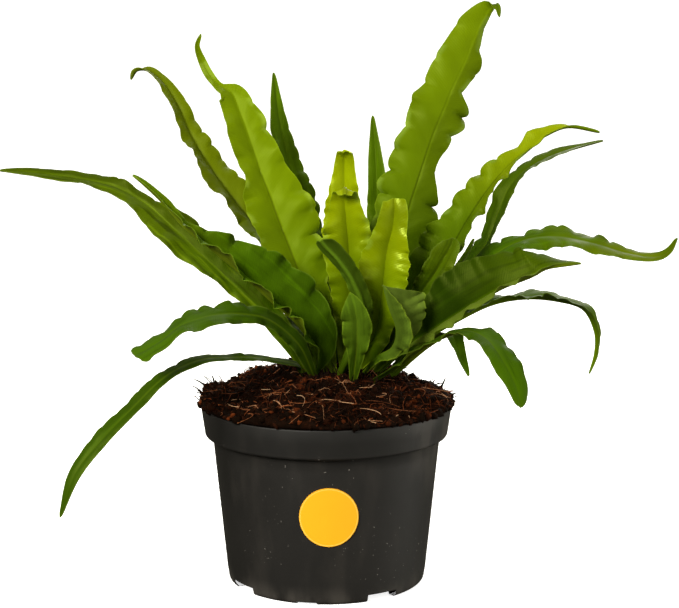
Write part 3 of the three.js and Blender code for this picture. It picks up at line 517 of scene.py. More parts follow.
def frond_piece(name):
    """One frond as a thin skin with an upper face, a paler underside and a rib."""
    foot, waves, ripple, folds, facing, path = FRONDS[name]
    ruffle = LOOKS.get(name, BACK_LOOK)[4]
    top = float(crown_height(*foot))
    path = np.array([(*foot, top + 1, STALK_HALF_WIDTH, STALK_HALF_WIDTH), *path], float)
    length = even_shares(path[:, :3], 10)[1]
    stations = int(min(MOST_STATIONS, max(FEWEST_STATIONS, length * STATIONS_PER_MM)))
    shares, length = even_shares(path[:, :3], stations)
    centre = curve_at(path[:, :3], shares)
    tangent = (curve_at(path[:, :3], np.minimum(shares + 1e-3, 1))
               - curve_at(path[:, :3], np.maximum(shares - 1e-3, 0)))
    tangent /= np.linalg.norm(tangent, axis=1)[:, None]
    left, right = np.maximum(TIP_HALF_WIDTH * 0.5, curve_at(path[:, 3:], shares)).T
    half = (left + right) / 2
    if facing is None:
        facing = math.degrees(math.atan2(path[-1, 1] - foot[1], path[-1, 0] - foot[0]))
    facing = math.radians(facing)
    level = np.array([-math.sin(facing), math.cos(facing), 0])
    side = level - tangent * (tangent @ level)[:, None]
    side /= np.linalg.norm(side, axis=1)[:, None]
    face = np.cross(tangent, side)

    # The waves, lobes, frills and pleats that lift the blade or scallop its edges
    along = np.linspace(0, 1, stations + 1)
    swell = (np.minimum(1, half / 8) * np.minimum(1, 4 * along)
             * np.minimum(1, 3 * (1 - along)))[:, None]
    phase = foot[0] * 0.7 + foot[1] * 1.9
    u = ACROSS[None, :]
    run = (along * length)[:, None]
    seed = int(400 + 3 * foot[0] + 7 * foot[1])
    stray, coarse, medium, small = (
        np.where(u > 0, wander(run, size, seed + k), wander(run, size, seed + k + 50))
        for k, size in enumerate(UNEVEN))
    turn = FULL_TURN * waves * along[:, None] + phase + np.where(u > 0, 2.1, 0)
    wave = ripple * swell * np.abs(u) ** 1.5 * (
        0.8 * np.sin(turn + 0.8 * stray) + 0.3 * np.sin(1.9 * turn + 1))
    lobes = run / (LOBE_LENGTH + LOBE_GROWTH * half.max()) + 0.6 * stray + np.where(u > 0, 0.4, 0)
    belly = np.sin(np.pi * (lobes % 1) ** 0.75) ** 0.55
    strength = np.clip(0.75 + 0.6 * coarse, 0.15, 1.5)
    frill = ruffle * swell * np.abs(u) ** 2.4 * strength * 1.7 * (belly - 0.7)
    crimped = name in CRIMPS
    crimp = FULL_TURN * run / CRIMPS.get(name, CRISP_LENGTH) + 2 * coarse + 1.4 * medium
    crisped = (0.36 + 0.26 * medium) if crimped else 0.22 * np.maximum(0, 0.5 + medium)
    crisp = crisped * ruffle * swell * np.abs(u) ** (2.5 if crimped else 5) * np.sin(crimp)
    scallop = 1 + swell * (
        0.04 * np.sin(turn + 1.2) + 0.11 * ruffle * strength * (belly - 0.75)
        + (0.032 * np.cos(crimp) if crimped else 0.030 * medium) + 0.018 * small)
    width = np.where(u > 0, left[:, None], right[:, None])
    fold = np.where(u > 0, *np.radians(folds))
    lip, narrowing = LIPS.get(name, (0, 0))
    narrowed = narrowing * np.clip(1 - (length - run) / 6, 0, 1)
    if name not in LIPS:
        narrowed = 1 - np.sqrt(1 - np.clip((run - length + 4) / ROUND_TIP, 0, 1) ** 2)
    out = width * scallop * u * (1 - narrowed)
    reach = np.abs(out)
    groove = -GROOVE_DEPTH * np.exp(-(reach / GROOVE_WIDTH) ** 2) * np.minimum(1, width / 5)
    arch = 0.07 * width * np.sin(np.pi * np.abs(u)) * np.minimum(1, width / 6)
    pleat = np.minimum(1, reach / 5) * (0.5 if name == "right_broad" else 1) * (
        0.09 * np.sin(FULL_TURN * (run - 0.9 * reach) / SHORT_PLEAT + 1.5 * coarse)
        + 0.30 * np.sin(FULL_TURN * (run - 0.8 * reach) / LONG_PLEAT + 3 * stray))
    rise = wave + frill + crisp + groove + arch + pleat * swell
    outward = np.sign(u) * (reach * np.cos(fold) - rise * np.sin(fold))
    lift = reach * np.sin(fold) + rise * np.cos(fold)
    upper = centre[:, None] + side[:, None] * outward[..., None] + face[:, None] * lift[..., None]
    if lip:
        near_end = np.clip(1 - (length - run) / 9, 0, 1) ** 1.5
        upper += tangent[:, None] * (near_end * lip * (
            0.5 + 0.35 * np.cos(2.4 * u + phase) + 0.10 * np.sin(6.5 * u + phase)))[..., None]
        upper += face[:, None] * (near_end * 0.25 * lip * np.sin(5 * u + 2 * phase))[..., None]

    # The underside, and the ring of points round each station
    rows, count = np.arange(stations + 1), len(ACROSS)
    columns = np.arange(count)
    before, after = upper[np.maximum(0, rows - 1)], upper[np.minimum(stations, rows + 1)]
    leftward = upper[:, np.minimum(count - 1, columns + 1)] - upper[:, np.maximum(0, columns - 1)]
    normal = np.cross(after - before, leftward)
    normal /= np.linalg.norm(normal, axis=2)[..., None] + 1e-9
    rib = RIB_DEPTH * (1 - 0.75 * along)[:, None] * np.exp(-(reach / RIB_WIDTH) ** 2)
    edge_thin = 1 - 0.5 * np.abs(u) ** 8
    lower = upper - normal * (BLADE_THICKNESS * edge_thin + rib)[..., None]
    rings = np.concatenate([upper, lower[:, ::-1]], axis=1)
    root = rings[0].copy()
    root[:, 2] = top - STALK_DEPTH
    rings = np.concatenate([root[None], rings])
    ring = 2 * count
    near, far = columns[:-1], ring - 1 - columns[:-1]
    end = np.stack([near, near + 1, far - 1, far], -1)
    faces = np.concatenate([ring_faces(len(rings), ring)[:, ::-1], end,
                            end[:, ::-1] + (len(rings) - 1) * ring])

    def per_point(upper_values, lower_values=None):
        lower_values = upper_values if lower_values is None else lower_values
        grid = np.concatenate([np.broadcast_to(upper_values, reach.shape),
                               np.broadcast_to(lower_values, reach.shape)[:, ::-1]], axis=1)
        return np.concatenate([grid[:1], grid]).reshape(-1)

    values = {
        "share": per_point(along[:, None]),
        "reach": per_point(out),
        "edge": per_point(np.minimum(width * scallop * (1 - np.abs(u)), length - run)),
        "length": per_point(run),
        "underside": per_point(np.zeros((1, 1)), np.ones((1, 1))),
    }
    slot = next((s for s, names in SLOTS.items() if name in names), "leaf_mature")
    piece = mesh_piece("fern_" + name, rings.reshape(-1, 3), faces, leaf_finish(name, slot),
                       values, sharp=60)
    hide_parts("frond_" + name)


def leaf_finish(name, slot):
    """Living leaf: fine side veins, a midrib line, a thin pale margin and light through it."""
    near, middle, tip, under, _ = LOOKS.get(name, BACK_LOOK)
    finish = Finish("leaf_" + name)
    share, reach, edge, length, underside = (
        finish.attribute(key) for key in ("share", "reach", "edge", "length", "underside"))
    distance = abs(reach)
    cloud = finish.noise(38, 2.0)
    mottle = finish.noise(5, 3.0)
    # Streaks along the leaf that paint the light and shade of creases
    folds = finish.streaks(length, reach, 34, 2.6, len(name) + near[0] * 99)
    young = slot == "leaf_young"
    bright = young or slot == "leaf_mid"

    # The blade, from what lies deepest in it to its midrib and its margin
    # Darker towards the foot: the stalk's own green, and painted shade deep in the rosette
    blade = finish.ramp(share + (cloud - 0.5) * 0.18, (0.0, STALK_GREEN), (0.16, near),
                        (0.50, middle), (0.86, tip), (0.98, lit(tip, 0.7 if young else 1)))
    blade = finish.mix(cloud.ease(0.5, 0.75) * 0.45, blade, lit(middle, 0.62))
    blade = finish.mix(mottle.ease(0.45, 0.8) * 0.16, blade, lit(middle, 1.4))
    # Pale streaks as painted highlights on ridges and dark streaks as painted shade in creases
    if not bright:
        painted_crease_strength = 0.8 if name == "left_long" else 0.35
        blade = finish.mix(folds.ease(0.56, 0.68) * painted_crease_strength, blade, lit(middle, 1.8))
        blade = finish.mix((1 - folds.ease(0.34, 0.46)) * painted_crease_strength, blade, lit(middle, 0.4))
    if name in STRIPS:
        strip = (0 - reach).ease(0.3, 2.0) * share.ease(0.1, 0.3)
        blade = finish.mix(strip * 0.8, blade, STRIPS[name])
    if young:
        core = (1 - distance.ease(0.5, 7.0)) * (1 - share.ease(0.6, 0.95))
        blade = finish.mix(core * 0.42, blade, lit(middle, 0.5))
    # Pale patches near the edges: painted glints
    if bright and name != "left_curl":
        painted_glint = (1 - edge.ease(0.8, 4.2)) * finish.noise(13, 1.0).ease(0.54, 0.64)
        blade = finish.mix(painted_glint * 0.7, blade, lit(middle, 1.7, 0.03))
    veins = ((length - distance * 0.55) * (FULL_TURN / VEIN_SPACING)).sine() * 0.5 + 0.5
    veins_seen = veins * distance.ease(0.8, 3.0)
    blade = finish.mix(veins_seen * 0.10, blade, lit(middle, 0.55))
    rib_colour = lit(middle, 0.35) if bright else (0.085, 0.135, 0.004)
    line = (1 - share.ease(0.35, 0.95)) * (0.40 if young else 0.90) if bright else (1 - share) * 0.7
    blade = finish.mix((1 - distance.ease(0.2, 0.9)) * line, blade, rib_colour)
    margin = (*lit(middle[:2], 1.4, 0.04), 0.010)
    blade = finish.mix((1 - edge.ease(0.2, 0.6 if bright else 0.9)) * 0.65, blade, margin)

    below = finish.mix(cloud * 0.5, under, lit(under, 0.7))
    # Darker streaks on the underside: painted shade in creases
    below = finish.mix(folds.ease(0.35, 0.65) * 0.3, below, lit(under, 0.5))
    under_rib = lit(under, 0.35 if bright else 1.4)
    below = finish.mix((1 - distance.ease(0.4, 1.3)) * 0.6, below, under_rib)
    below = finish.mix((1 - edge.ease(0.2, 0.8)) * 0.5, below, margin)
    if name == "tall_right":
        # Painted glints on the underside of the tall frond
        below = finish.mix(painted_glint * 0.7, below, lit(under, 1.9, 0.03))
    # Darker towards the foot on the underside too: the stalk's green and painted shade
    below = finish.mix(1 - share.ease(0.05, 0.30), below, STALK_GREEN)

    colour = finish.mix(underside, blade, below)
    # Painted light and painted shade on one half of the frond
    if name in PAINTED_HALVES:
        turned, light = PAINTED_HALVES[name]
        colour = finish.mix((reach * turned).ease(0.3, 2.0), colour, (light,) * 3, "MULTIPLY")
    roughness, gloss, through_share = SHINE[slot]
    surface = finish.principled(
        Base_Color=colour, Roughness=mottle * 0.14 + roughness + underside * 0.15,
        Normal=finish.bump(veins_seen * 0.35 + mottle * 0.65, 0.22, 0.5),
        Specular_IOR_Level=gloss, Specular_Tint=LEAF_SHEEN)
    glow = tuple(min(1, value) for value in lit(middle, 1.6))
    through = finish.node("ShaderNodeBsdfTranslucent", None, {"Color": glow})
    return finish.done(finish.node("ShaderNodeMixShader", None, {
        0: through_share, 1: surface, 2: through}))


# Pot and label

def body_radius(height):
    """Radius of the pot's wall under the collar."""
    return FOOT_RADIUS + (BODY_TOP_RADIUS - FOOT_RADIUS) * height / COLLAR_BOTTOM


def pot_finish():
    """Satin black moulded plastic with faint flow marks, scuffs round the foot and specks of soil
    dust, with painted light in patches on its right side and painted shade on its collar.
    """
    finish = Finish("pot_plastic")
    cloud = finish.noise(45, 3.0)
    smear = finish.noise(16, 4.0, stretch=(1, 1, 0.35))
    grain = finish.noise(0.9, 2.0)
    speck = finish.noise(1.5, 1.0)
    colour = finish.ramp(cloud, (0.3, (0.0052, 0.0046, 0.0042)), (0.7, (0.0086, 0.0077, 0.0071)))
    colour = finish.mix(smear.ease(0.48, 0.75) * 0.5, colour, (0.018, 0.0155, 0.0135))
    across, _, height = finish.coordinates()
    foot = (1 - height.ease(0.001, 0.014)) * smear.ease(0.35, 0.65)
    # Lighter patches on the right side of the body: painted light
    right_painted_light = across.ease(0.040, 0.062) * height.ease(0.050, 0.085) * smear.ease(0.40, 0.60)
    colour = finish.mix(foot * 0.7 + right_painted_light * 0.6, colour, (0.042, 0.037, 0.033))
    # The collar darker but for its right side: painted shade
    colour = finish.mix(height.ease(0.090, 0.093) * (1 - across.ease(0.02, 0.06)) * 0.5, colour,
                        (0.0035, 0.0032, 0.0030))
    dust = speck.ease(0.74, 0.80) * cloud.ease(0.45, 0.62)
    colour = finish.mix(dust * 0.8, colour, (0.20, 0.185, 0.17))
    normal = finish.bump(grain * 0.7 + smear * 0.3, 0.06, 0.5)
    return finish.done(finish.principled(
        Base_Color=colour, Roughness=0.50 + smear * 0.16 + dust * 0.2, Normal=normal,
        Specular_IOR_Level=0.26))


def arc(centre, radius, start, end, steps):
    """Points of an arc of a profile, from its start to its end angle in degrees."""
    angles = np.radians(np.linspace(start, end, steps))
    return [(centre[0] + radius * math.cos(a), centre[1] + radius * math.sin(a)) for a in angles]


def pot_piece():
    """The pot as one turned skin, with the notches of its foot and its drain holes cut out."""
    hollow, rounding = COLLAR_HOLLOW, COLLAR_ROUNDING
    outside = arc((FOOT_RADIUS - FOOT_ROUNDING, FOOT_ROUNDING), FOOT_ROUNDING, -90, 0, 6)
    outside += [(body_radius(z), z) for z in np.linspace(8, COLLAR_BOTTOM - 2.2, 12)]
    outside += arc((BODY_TOP_RADIUS + hollow, COLLAR_BOTTOM - rounding), hollow, 180, 100, 4)
    outside += arc((COLLAR_FOOT_RADIUS - rounding, COLLAR_BOTTOM + hollow), rounding, -80, 0, 6)
    outside += [(COLLAR_FOOT_RADIUS + COLLAR_TAPER * 0.5, COLLAR_BOTTOM + COLLAR_HEIGHT * 0.5)]
    outside += arc((RIM_RADIUS - RIM_ROUNDING, POT_HEIGHT - RIM_ROUNDING), RIM_ROUNDING, 0, 180, 8)
    inside = [(COLLAR_FOOT_RADIUS - WALL, COLLAR_BOTTOM + SHOULDER_RISE),
              (BODY_TOP_RADIUS - WALL, COLLAR_BOTTOM - 1),
              (body_radius(FLOOR_HEIGHT) - WALL, FLOOR_HEIGHT), (0.01, FLOOR_HEIGHT)]
    ring = FOOT_RADIUS - FOOT_RING_WIDTH
    underside = [(0.01, FLOOR_HEIGHT - WALL), (ring - WALL, FLOOR_HEIGHT - WALL), (ring, 0)]
    points, faces = lathe(underside + outside + inside, POT_SIDES)
    pot = mesh_piece("nursery_pot", points, faces, pot_finish())
    cutters = []
    for k in range(NOTCH_COUNT):
        width, height = SMALL_NOTCH if k % 2 else WIDE_NOTCH
        angle = math.radians(WIDE_NOTCH_ANGLE + 360 / NOTCH_COUNT * k)
        bpy.ops.mesh.primitive_cube_add(size=1)
        box = bpy.context.object
        box.scale = (NOTCH_LENGTH * MM, width * MM, 2 * height * MM)
        box.rotation_euler.z = angle
        box.location = (FOOT_RADIUS * MM * math.cos(angle), FOOT_RADIUS * MM * math.sin(angle), 0)
        cutters.append(box)
        if not k % 2:
            place = (DRAIN_CIRCLE * MM * math.cos(angle), DRAIN_CIRCLE * MM * math.sin(angle), 0)
            bpy.ops.mesh.primitive_cylinder_add(
                vertices=32, radius=DRAIN_RADIUS * MM, depth=3 * FLOOR_HEIGHT * MM, location=place)
            cutters.append(bpy.context.object)
    for cutter in cutters:
        cut = pot.modifiers.new("cut", "BOOLEAN")
        cut.object = cutter
        cut.solver = "EXACT"
    bpy.context.view_layer.update()
    shaped = pot.evaluated_get(bpy.context.evaluated_depsgraph_get())
    shaped = bpy.data.meshes.new_from_object(shaped)
    pot.modifiers.clear()
    pot.data = shaped
    pot.data.set_sharp_from_angle(angle=math.radians(35))
    for cutter in cutters:
        bpy.data.objects.remove(cutter)
    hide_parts("pot")


def label_finish():
    """Coated golden paper, faintly mottled, with a thin darker line round its edge and a painted
    highlight just inside it.
    """
    finish = Finish("label_paper")
    cloud = finish.noise(9, 2.0)
    fibre = finish.noise(0.5, 2.0)
    edge = finish.attribute("edge")
    colour = finish.mix(cloud * 0.5, (0.66, 0.325, 0.006), (0.68, 0.34, 0.008))
    colour = finish.mix(1 - edge.ease(0.10, 0.45), colour, (0.55, 0.24, 0.008))
    # A pale line just inside the edge: painted highlight
    line = edge.ease(0.45, 0.65) * (1 - edge.ease(0.85, 1.1))
    colour = finish.mix(line * 0.6, colour, (0.80, 0.55, 0.12))
    return finish.done(finish.principled(
        Base_Color=colour, Roughness=fibre * 0.12 + 0.38, Normal=finish.bump(fibre, 0.02, 0.3),
        Specular_IOR_Level=0.4))


def label_piece():
    """The label as a thin disc that bends with the wall of the pot."""
    sides = 96
    # How far out each ring is, and how high in the label's thickness
    shells = [(0.004, 0), (0.5, 0), (1, 0), (1, 0.6), (0.992, 1), (0.96, 1), (0.9, 1), (0.6, 1),
              (0.3, 1), (0.004, 1)]
    rings, edges = [], []
    angles = np.arange(sides) * FULL_TURN / sides
    for reach, share in shells:
        height = LABEL_Z + reach * LABEL_RADIUS * LABEL_STRETCH * np.sin(angles)
        around = (LABEL_X + reach * LABEL_RADIUS * np.cos(angles)) / body_radius(height)
        radius = (body_radius(height) + LABEL_LIFT * 0.3
                  + share * (LABEL_THICKNESS + LABEL_LIFT * 0.7))
        rings.append(np.stack([radius * np.sin(around), -radius * np.cos(around), height], -1))
        edges.append(np.full(sides, LABEL_RADIUS * (1 - reach)))
    faces = ring_faces(len(rings), sides)
    label = mesh_piece("round_label", np.concatenate(rings), faces, label_finish(),
                       {"edge": np.concatenate(edges)}, sharp=40)
    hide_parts("label")


# Soil

def cloud_heights(x, y, size, seed):
    """Smooth random heights between -1 and 1, with lumps about size millimetres across."""
    table = np.random.default_rng(seed).uniform(-1, 1, (128, 128))
    gx, gy = np.asarray(x) / size + 50, np.asarray(y) / size + 50
    ix, iy = np.floor(gx).astype(int), np.floor(gy).astype(int)
    wx, wy = gx - ix, gy - iy
    wx, wy = wx * wx * (3 - 2 * wx), wy * wy * (3 - 2 * wy)
    pick = lambda a, b: table[a % 128, b % 128]
    return ((pick(ix, iy) * (1 - wx) + pick(ix + 1, iy) * wx) * (1 - wy)
            + (pick(ix, iy + 1) * (1 - wx) + pick(ix + 1, iy + 1) * wx) * wy)


def soil_base(x, y):
    """The mound's height without its crumbs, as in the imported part."""
    reach = np.minimum(1, np.hypot(x, y) / RIM_RADIUS)
    edge = POT_HEIGHT + SOIL_EDGE_RISE
    mound = edge + (SOIL_TOP - edge) * (1 - reach ** 2.4)
    lumps = np.sin(x / 6.1 + 1.3) * np.cos(y / 5.3 - 0.4) + np.sin((x + 2 * y) / 9.7)
    return mound + 1.3 * lumps


def soil_surface(x, y):
    """The mound's height with its clods and grains, lower round the outside and on the right."""
    rough = sum(height * cloud_heights(x, y, size, seed) for height, size, seed in CLODS)
    outer = np.clip((np.hypot(x, y) - 40) / 18, 0, 1)
    sunk = SUNK + SUNK_ON_THE_RIGHT * np.clip(np.asarray(x) / 45, 0, 1) * outer
    return np.maximum(soil_base(x, y) + rough - sunk, POT_HEIGHT + 1.2)


def soil_finish(kind):
    """Peat and coir, by the shade value: near-black tones that partly paint the shade of the
    hollows, red-brown crumbs and tan fibres.
    """
    dark, warm, light = SOIL_COLOURS[kind]
    finish = Finish(kind)
    fine = finish.noise(1.6, 4.0, 0.7)
    tone = finish.attribute("shade") + (fine - 0.5) * 0.8 + (finish.noise(9, 3.0) - 0.5) * 0.5
    return finish.done(finish.principled(
        Base_Color=finish.ramp(tone, (0.18, dark), (0.58, warm), (0.95, light)), Roughness=0.8,
        Normal=finish.bump(fine, 0.8, 1.0), Specular_IOR_Level=0.08,
        Specular_Tint=(1.0, 0.6, 0.4)))


def soil_piece(name, kind, points, faces, shade):
    """A piece of peat or coir, light where its shade is near 1."""
    return mesh_piece(name, points, faces, soil_finish(kind), {"shade": shade})


def soil_mound():
    """The mound's whole surface, with a skirt that goes down inside the rim."""
    sides, rings = 300, []
    skirt = [(RIM_RADIUS - WALL - 0.6, POT_HEIGHT - 6), (RIM_RADIUS - WALL - 0.4, POT_HEIGHT + 0.1),
             (SOIL_RADIUS - 0.9, POT_HEIGHT + 0.7), (SOIL_RADIUS - 0.2, POT_HEIGHT + 2.0)]
    angles = np.arange(sides) * FULL_TURN / sides
    for radius, height in skirt:
        rings.append(np.stack([radius * np.cos(angles), radius * np.sin(angles),
                               np.full(sides, height)], -1))
    for radius in np.concatenate([np.linspace(SOIL_RADIUS - 0.8, 20, 62), [14, 8, 3, 0.05]]):
        x = radius * np.cos(angles) + CROWN_X * (1 - radius / SOIL_RADIUS)
        y = radius * np.sin(angles) + CROWN_Y * (1 - radius / SOIL_RADIUS)
        z = soil_surface(x, y)
        inward = np.hypot(x - CROWN_X, y - CROWN_Y)
        z = np.where(inward < CROWN_RADIUS - 5, np.minimum(z, crown_height(x, y) - 1.5), z)
        ragged = 1 + 0.008 * cloud_heights(x, y, 3, 9) * (radius > SOIL_RADIUS - 2)
        rings.append(np.stack([x * ragged, y * ragged, z], -1))
    points = np.concatenate(rings)
    shade = 0.28 + 0.22 * cloud_heights(points[:, 0], points[:, 1], 2.5, 5)
    mound = soil_piece("soil_mound", "peat_mound", points, ring_faces(len(rings), sides), shade)
    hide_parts("soil")


def scatter(random, count, inner):
    """Random places on the soil, as x, y."""
    angle = random.uniform(0, FULL_TURN, count)
    out = np.sqrt(random.uniform(inner, 1, count))
    radius = out * (SOIL_RADIUS - 1.5)
    x = radius * np.cos(angle) + CROWN_X * (1 - out) * 0.4
    return x, radius * np.sin(angle)


def shades(random, count, least, shape, spread, each):
    """A random shade for each of count lumps or fibres, repeated over its points."""
    return np.repeat(np.clip(least + random.gamma(shape, spread, count), 0, 1), each)


def repeat_faces(faces, each, count):
    """The faces of one lump or fibre with each points, for count of them."""
    return (faces[None] + each * np.arange(count)[:, None, None]).reshape(-1, faces.shape[1])


def lump():
    """The twelve corners and the twenty triangles of an even lump."""
    golden = (1 + math.sqrt(5)) / 2
    corners = np.array([(a, b * golden, 0) for a in (-1, 1) for b in (-1, 1)], float)
    corners = np.concatenate([corners, corners[:, [2, 0, 1]], corners[:, [1, 2, 0]]])
    corners /= np.linalg.norm(corners[0])
    triangles = []
    for i, j, k in itertools.combinations(range(12), 3):
        a, b, c = corners[[i, j, k]]
        if max(np.linalg.norm(p - q) for p, q in ((a, b), (b, c), (c, a))) < 1.1:
            outward = np.dot(np.cross(b - a, c - a), a + b + c) > 0
            triangles.append((i, j, k) if outward else (i, k, j))
    return corners, np.array(triangles)


def soil_crumbs(random, count):
    """Loose crumbs of peat, each an uneven lump, some of them on the rim."""
    corners, triangles = lump()
    x, y = scatter(random, count, 0.04)
    size = 0.5 + 2.1 * random.random(count) ** 4
    stretch = random.uniform(0.6, 1.5, (count, 1, 3))
    knobs = random.uniform(0.7, 1.25, (count, 12, 1))
    spin = np.linalg.qr(random.normal(size=(count, 3, 3)))[0]
    shape = (corners[None] * stretch * knobs * size[:, None, None]) @ spin
    height = soil_surface(x, y) + size * 0.4
    on_rim = random.random(count) < 0.2
    around = np.arctan2(y, x)
    x = np.where(on_rim, (RIM_RADIUS + 0.2) * np.cos(around), x)
    y = np.where(on_rim, (RIM_RADIUS + 0.2) * np.sin(around), y)
    low, high = POT_HEIGHT + 1.3, soil_surface(x, y) - POT_HEIGHT - 1
    height = np.where(on_rim, low + random.random(count) * high, height)
    points = (shape + np.stack([x, y, height], -1)[:, None]).reshape(-1, 3)
    soil_piece("soil_crumbs", "peat_crumbs", points, repeat_faces(triangles, 12, count),
               shades(random, count, 0.05, 1.6, 0.15, 12))


def soil_fibres(random, count):
    """Loose coir: thin curved fibres that lie on the mound, some with a lifted end."""
    steps, corners = 7, 3
    x, y = scatter(random, count, 0.06)
    heading = random.uniform(0, FULL_TURN, count)
    length = 4 + 22 * random.random(count) ** 2.2
    bend = random.normal(0, 1.1, count)
    thick = 0.10 + 0.22 * random.random(count) ** 2
    arch = random.uniform(0.2, 2.6, count)
    lift = np.where(random.random(count) < 0.16, random.uniform(1, 6, count), 0)
    along = np.linspace(0, 1, steps)[None, :]
    direction = heading[:, None] + bend[:, None] * along
    stride = (length / (steps - 1))[:, None]
    px, py = (start[:, None] + np.concatenate(
        [np.zeros((count, 1)), np.cumsum(turn(direction[:, :-1]) * stride, 1)], 1)
        for start, turn in ((x, np.cos), (y, np.sin)))
    over = np.maximum(1, np.hypot(px, py) / (SOIL_RADIUS - 0.4))
    px, py = px / over, py / over
    pz = (soil_surface(px, py) + 0.3 + arch[:, None] * np.sin(math.pi * along)
          + lift[:, None] * along ** 2)
    line = np.stack([px, py, pz], -1)
    tangent = np.gradient(line, axis=1)
    tangent /= np.linalg.norm(tangent, axis=2)[..., None]
    side = np.cross(tangent, (0, 0, 1))
    side /= np.linalg.norm(side, axis=2)[..., None] + 1e-9
    up = np.cross(side, tangent)
    width = thick[:, None] * (1 - 0.6 * along ** 2)
    rings = []
    for corner in range(corners):
        a = FULL_TURN * corner / corners
        rings.append(line + (side * math.cos(a) + up * math.sin(a)) * width[..., None])
    each = steps * corners
    soil_piece("coir_fibres", "coir", np.stack(rings, 2).reshape(-1, 3),
               repeat_faces(ring_faces(steps, corners), each, count),
               shades(random, count, 0.05, 1.5, 0.18, each))


def ribbons(x, y, z, heading, tilt, length, width, bend, thick, steps=4, droop=0.5):
    """Points and quads of flat shreds, each bent along its length and thinner to its end."""
    along = np.linspace(0, 1, steps + 1)[None, :]
    turned = heading[:, None] + bend[:, None] * along
    risen = tilt[:, None] * (1 - droop * along)
    stride = (length / steps)[:, None]
    flat = np.cos(risen) * stride
    moves = np.stack([flat * np.cos(turned), flat * np.sin(turned), np.sin(risen) * stride], -1)
    line = np.stack([x, y, z], -1)[:, None] + np.cumsum(moves, 1) - moves[:, :1]
    half = width[:, None] * (1.02 - along ** 3) / 2
    side = np.stack([-np.sin(turned) * half, np.cos(turned) * half, 0.3 * half], -1)
    down = np.array([0, 0, thick])
    corners = np.stack([line + side, line - side, line - side - down, line + side - down], 2)
    each = 4 * (steps + 1)
    return corners.reshape(-1, 3), repeat_faces(ring_faces(steps + 1, 4), each, len(x)), each


def soil_shreds(random, count):
    """Shreds of bark and husk that stick out of the peat at all angles."""
    x, y = scatter(random, count, 0.05)
    points, faces, each = ribbons(
        x, y, soil_surface(x, y) + 0.1, random.uniform(0, FULL_TURN, count),
        random.uniform(-0.1, 0.75, count), 2.5 + 8 * random.random(count) ** 2,
        0.4 + 1.5 * random.random(count) ** 2, random.normal(0, 0.7, count), 0.28)
    soil_piece("husk_shreds", "husk", points, faces, shades(random, count, 0.03, 1.5, 0.17, each))


def long_fibres(random, count):
    """The longest and palest coir, which lies on top of the rest or stands up in loops."""
    x, y = scatter(random, count, 0.25)
    y = np.where(random.random(count) < 0.6, -np.abs(y), y)
    points, faces, each = ribbons(
        x, y, soil_surface(x, y) + 0.9, random.uniform(0, FULL_TURN, count),
        random.uniform(-0.12, 0.30, count), random.uniform(9, 24, count),
        random.uniform(0.14, 0.29, count), random.normal(0, 2.0, count), 0.26,
        steps=14, droop=2.4)
    shade = np.repeat(np.clip(random.normal(0.55, 0.28, count), 0.1, 1), each)
    soil_piece("pale_coir", "pale_coir", points, faces, shade)


def rim_twigs(random, count):
    """Thin dark root ends that stand up from the edge of the mound, many of them on the left."""
    on_left = 22
    angle = np.concatenate([np.radians(random.uniform(168, 204, on_left)),
                            random.uniform(0, FULL_TURN, count - on_left)])
    radius = RIM_RADIUS - random.uniform(-0.5, 7, count)
    x, y = radius * np.cos(angle), radius * np.sin(angle)
    points, faces, _ = ribbons(
        x, y, soil_surface(x, y) - 0.5, angle + random.normal(0, 0.9, count),
        random.uniform(0.7, 1.4, count), random.uniform(5, 13, count),
        random.uniform(0.4, 1.6, count), random.normal(0, 0.6, count), 0.5)
    soil_piece("root_ends", "root", points, faces, np.full(len(points), 0.25))


def crown_finish():
    """Dark brown papery scales, streaked along their length."""
    finish = Finish("crown_scales")
    streak = finish.noise(3, 4.0, stretch=(1, 1, 0.2))
    colour = finish.ramp(streak, (0.3, (0.0015, 0.0006, 0.0002)), (0.7, (0.014, 0.0045, 0.0014)))
    return finish.done(finish.principled(
        Base_Color=colour, Roughness=0.8, Normal=finish.bump(streak, 0.5, 0.8),
        Specular_IOR_Level=0.08))


def crown_piece(random, count):
    """Papery pointed scales all over the crown's top and side."""
    steps = 4
    out = np.sqrt(random.random(count))
    angle = random.uniform(0, FULL_TURN, count)
    x = CROWN_X + out * (CROWN_RADIUS - 3) * np.cos(angle)
    y = CROWN_Y + out * (CROWN_RADIUS - 3) * np.sin(angle)
    z = crown_height(x, y) - 1.5
    height = random.uniform(3, 8, count)
    width = random.uniform(0.5, 1.3, count)
    lean = random.uniform(0.1, 0.6, count)
    heading = angle + random.normal(0, 0.7, count)
    along = np.linspace(0, 1, steps + 1)[None, :]
    rise = z[:, None] + height[:, None] * along * np.cos(lean)[:, None]
    away = height[:, None] * along ** 1.6 * np.sin(lean)[:, None]
    cx = x[:, None] + away * np.cos(heading)[:, None]
    cy = y[:, None] + away * np.sin(heading)[:, None]
    half = width[:, None] * (1 - along ** 2) + 0.05
    sx, sy = -np.sin(heading)[:, None] * half, np.cos(heading)[:, None] * half
    left = np.stack([cx + sx, cy + sy, rise], -1)
    right = np.stack([cx - sx, cy - sy, rise], -1)
    inward = np.stack([np.cos(heading), np.sin(heading), np.zeros(count)], -1)[:, None] * 0.18
    rings = np.stack([left, right, right - inward, left - inward], 2)
    faces = repeat_faces(ring_faces(steps + 1, 4), 4 * (steps + 1), count)
    crown = mesh_piece("crown_scales", rings.reshape(-1, 3), faces, crown_finish())
    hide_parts("crown")


# The studio

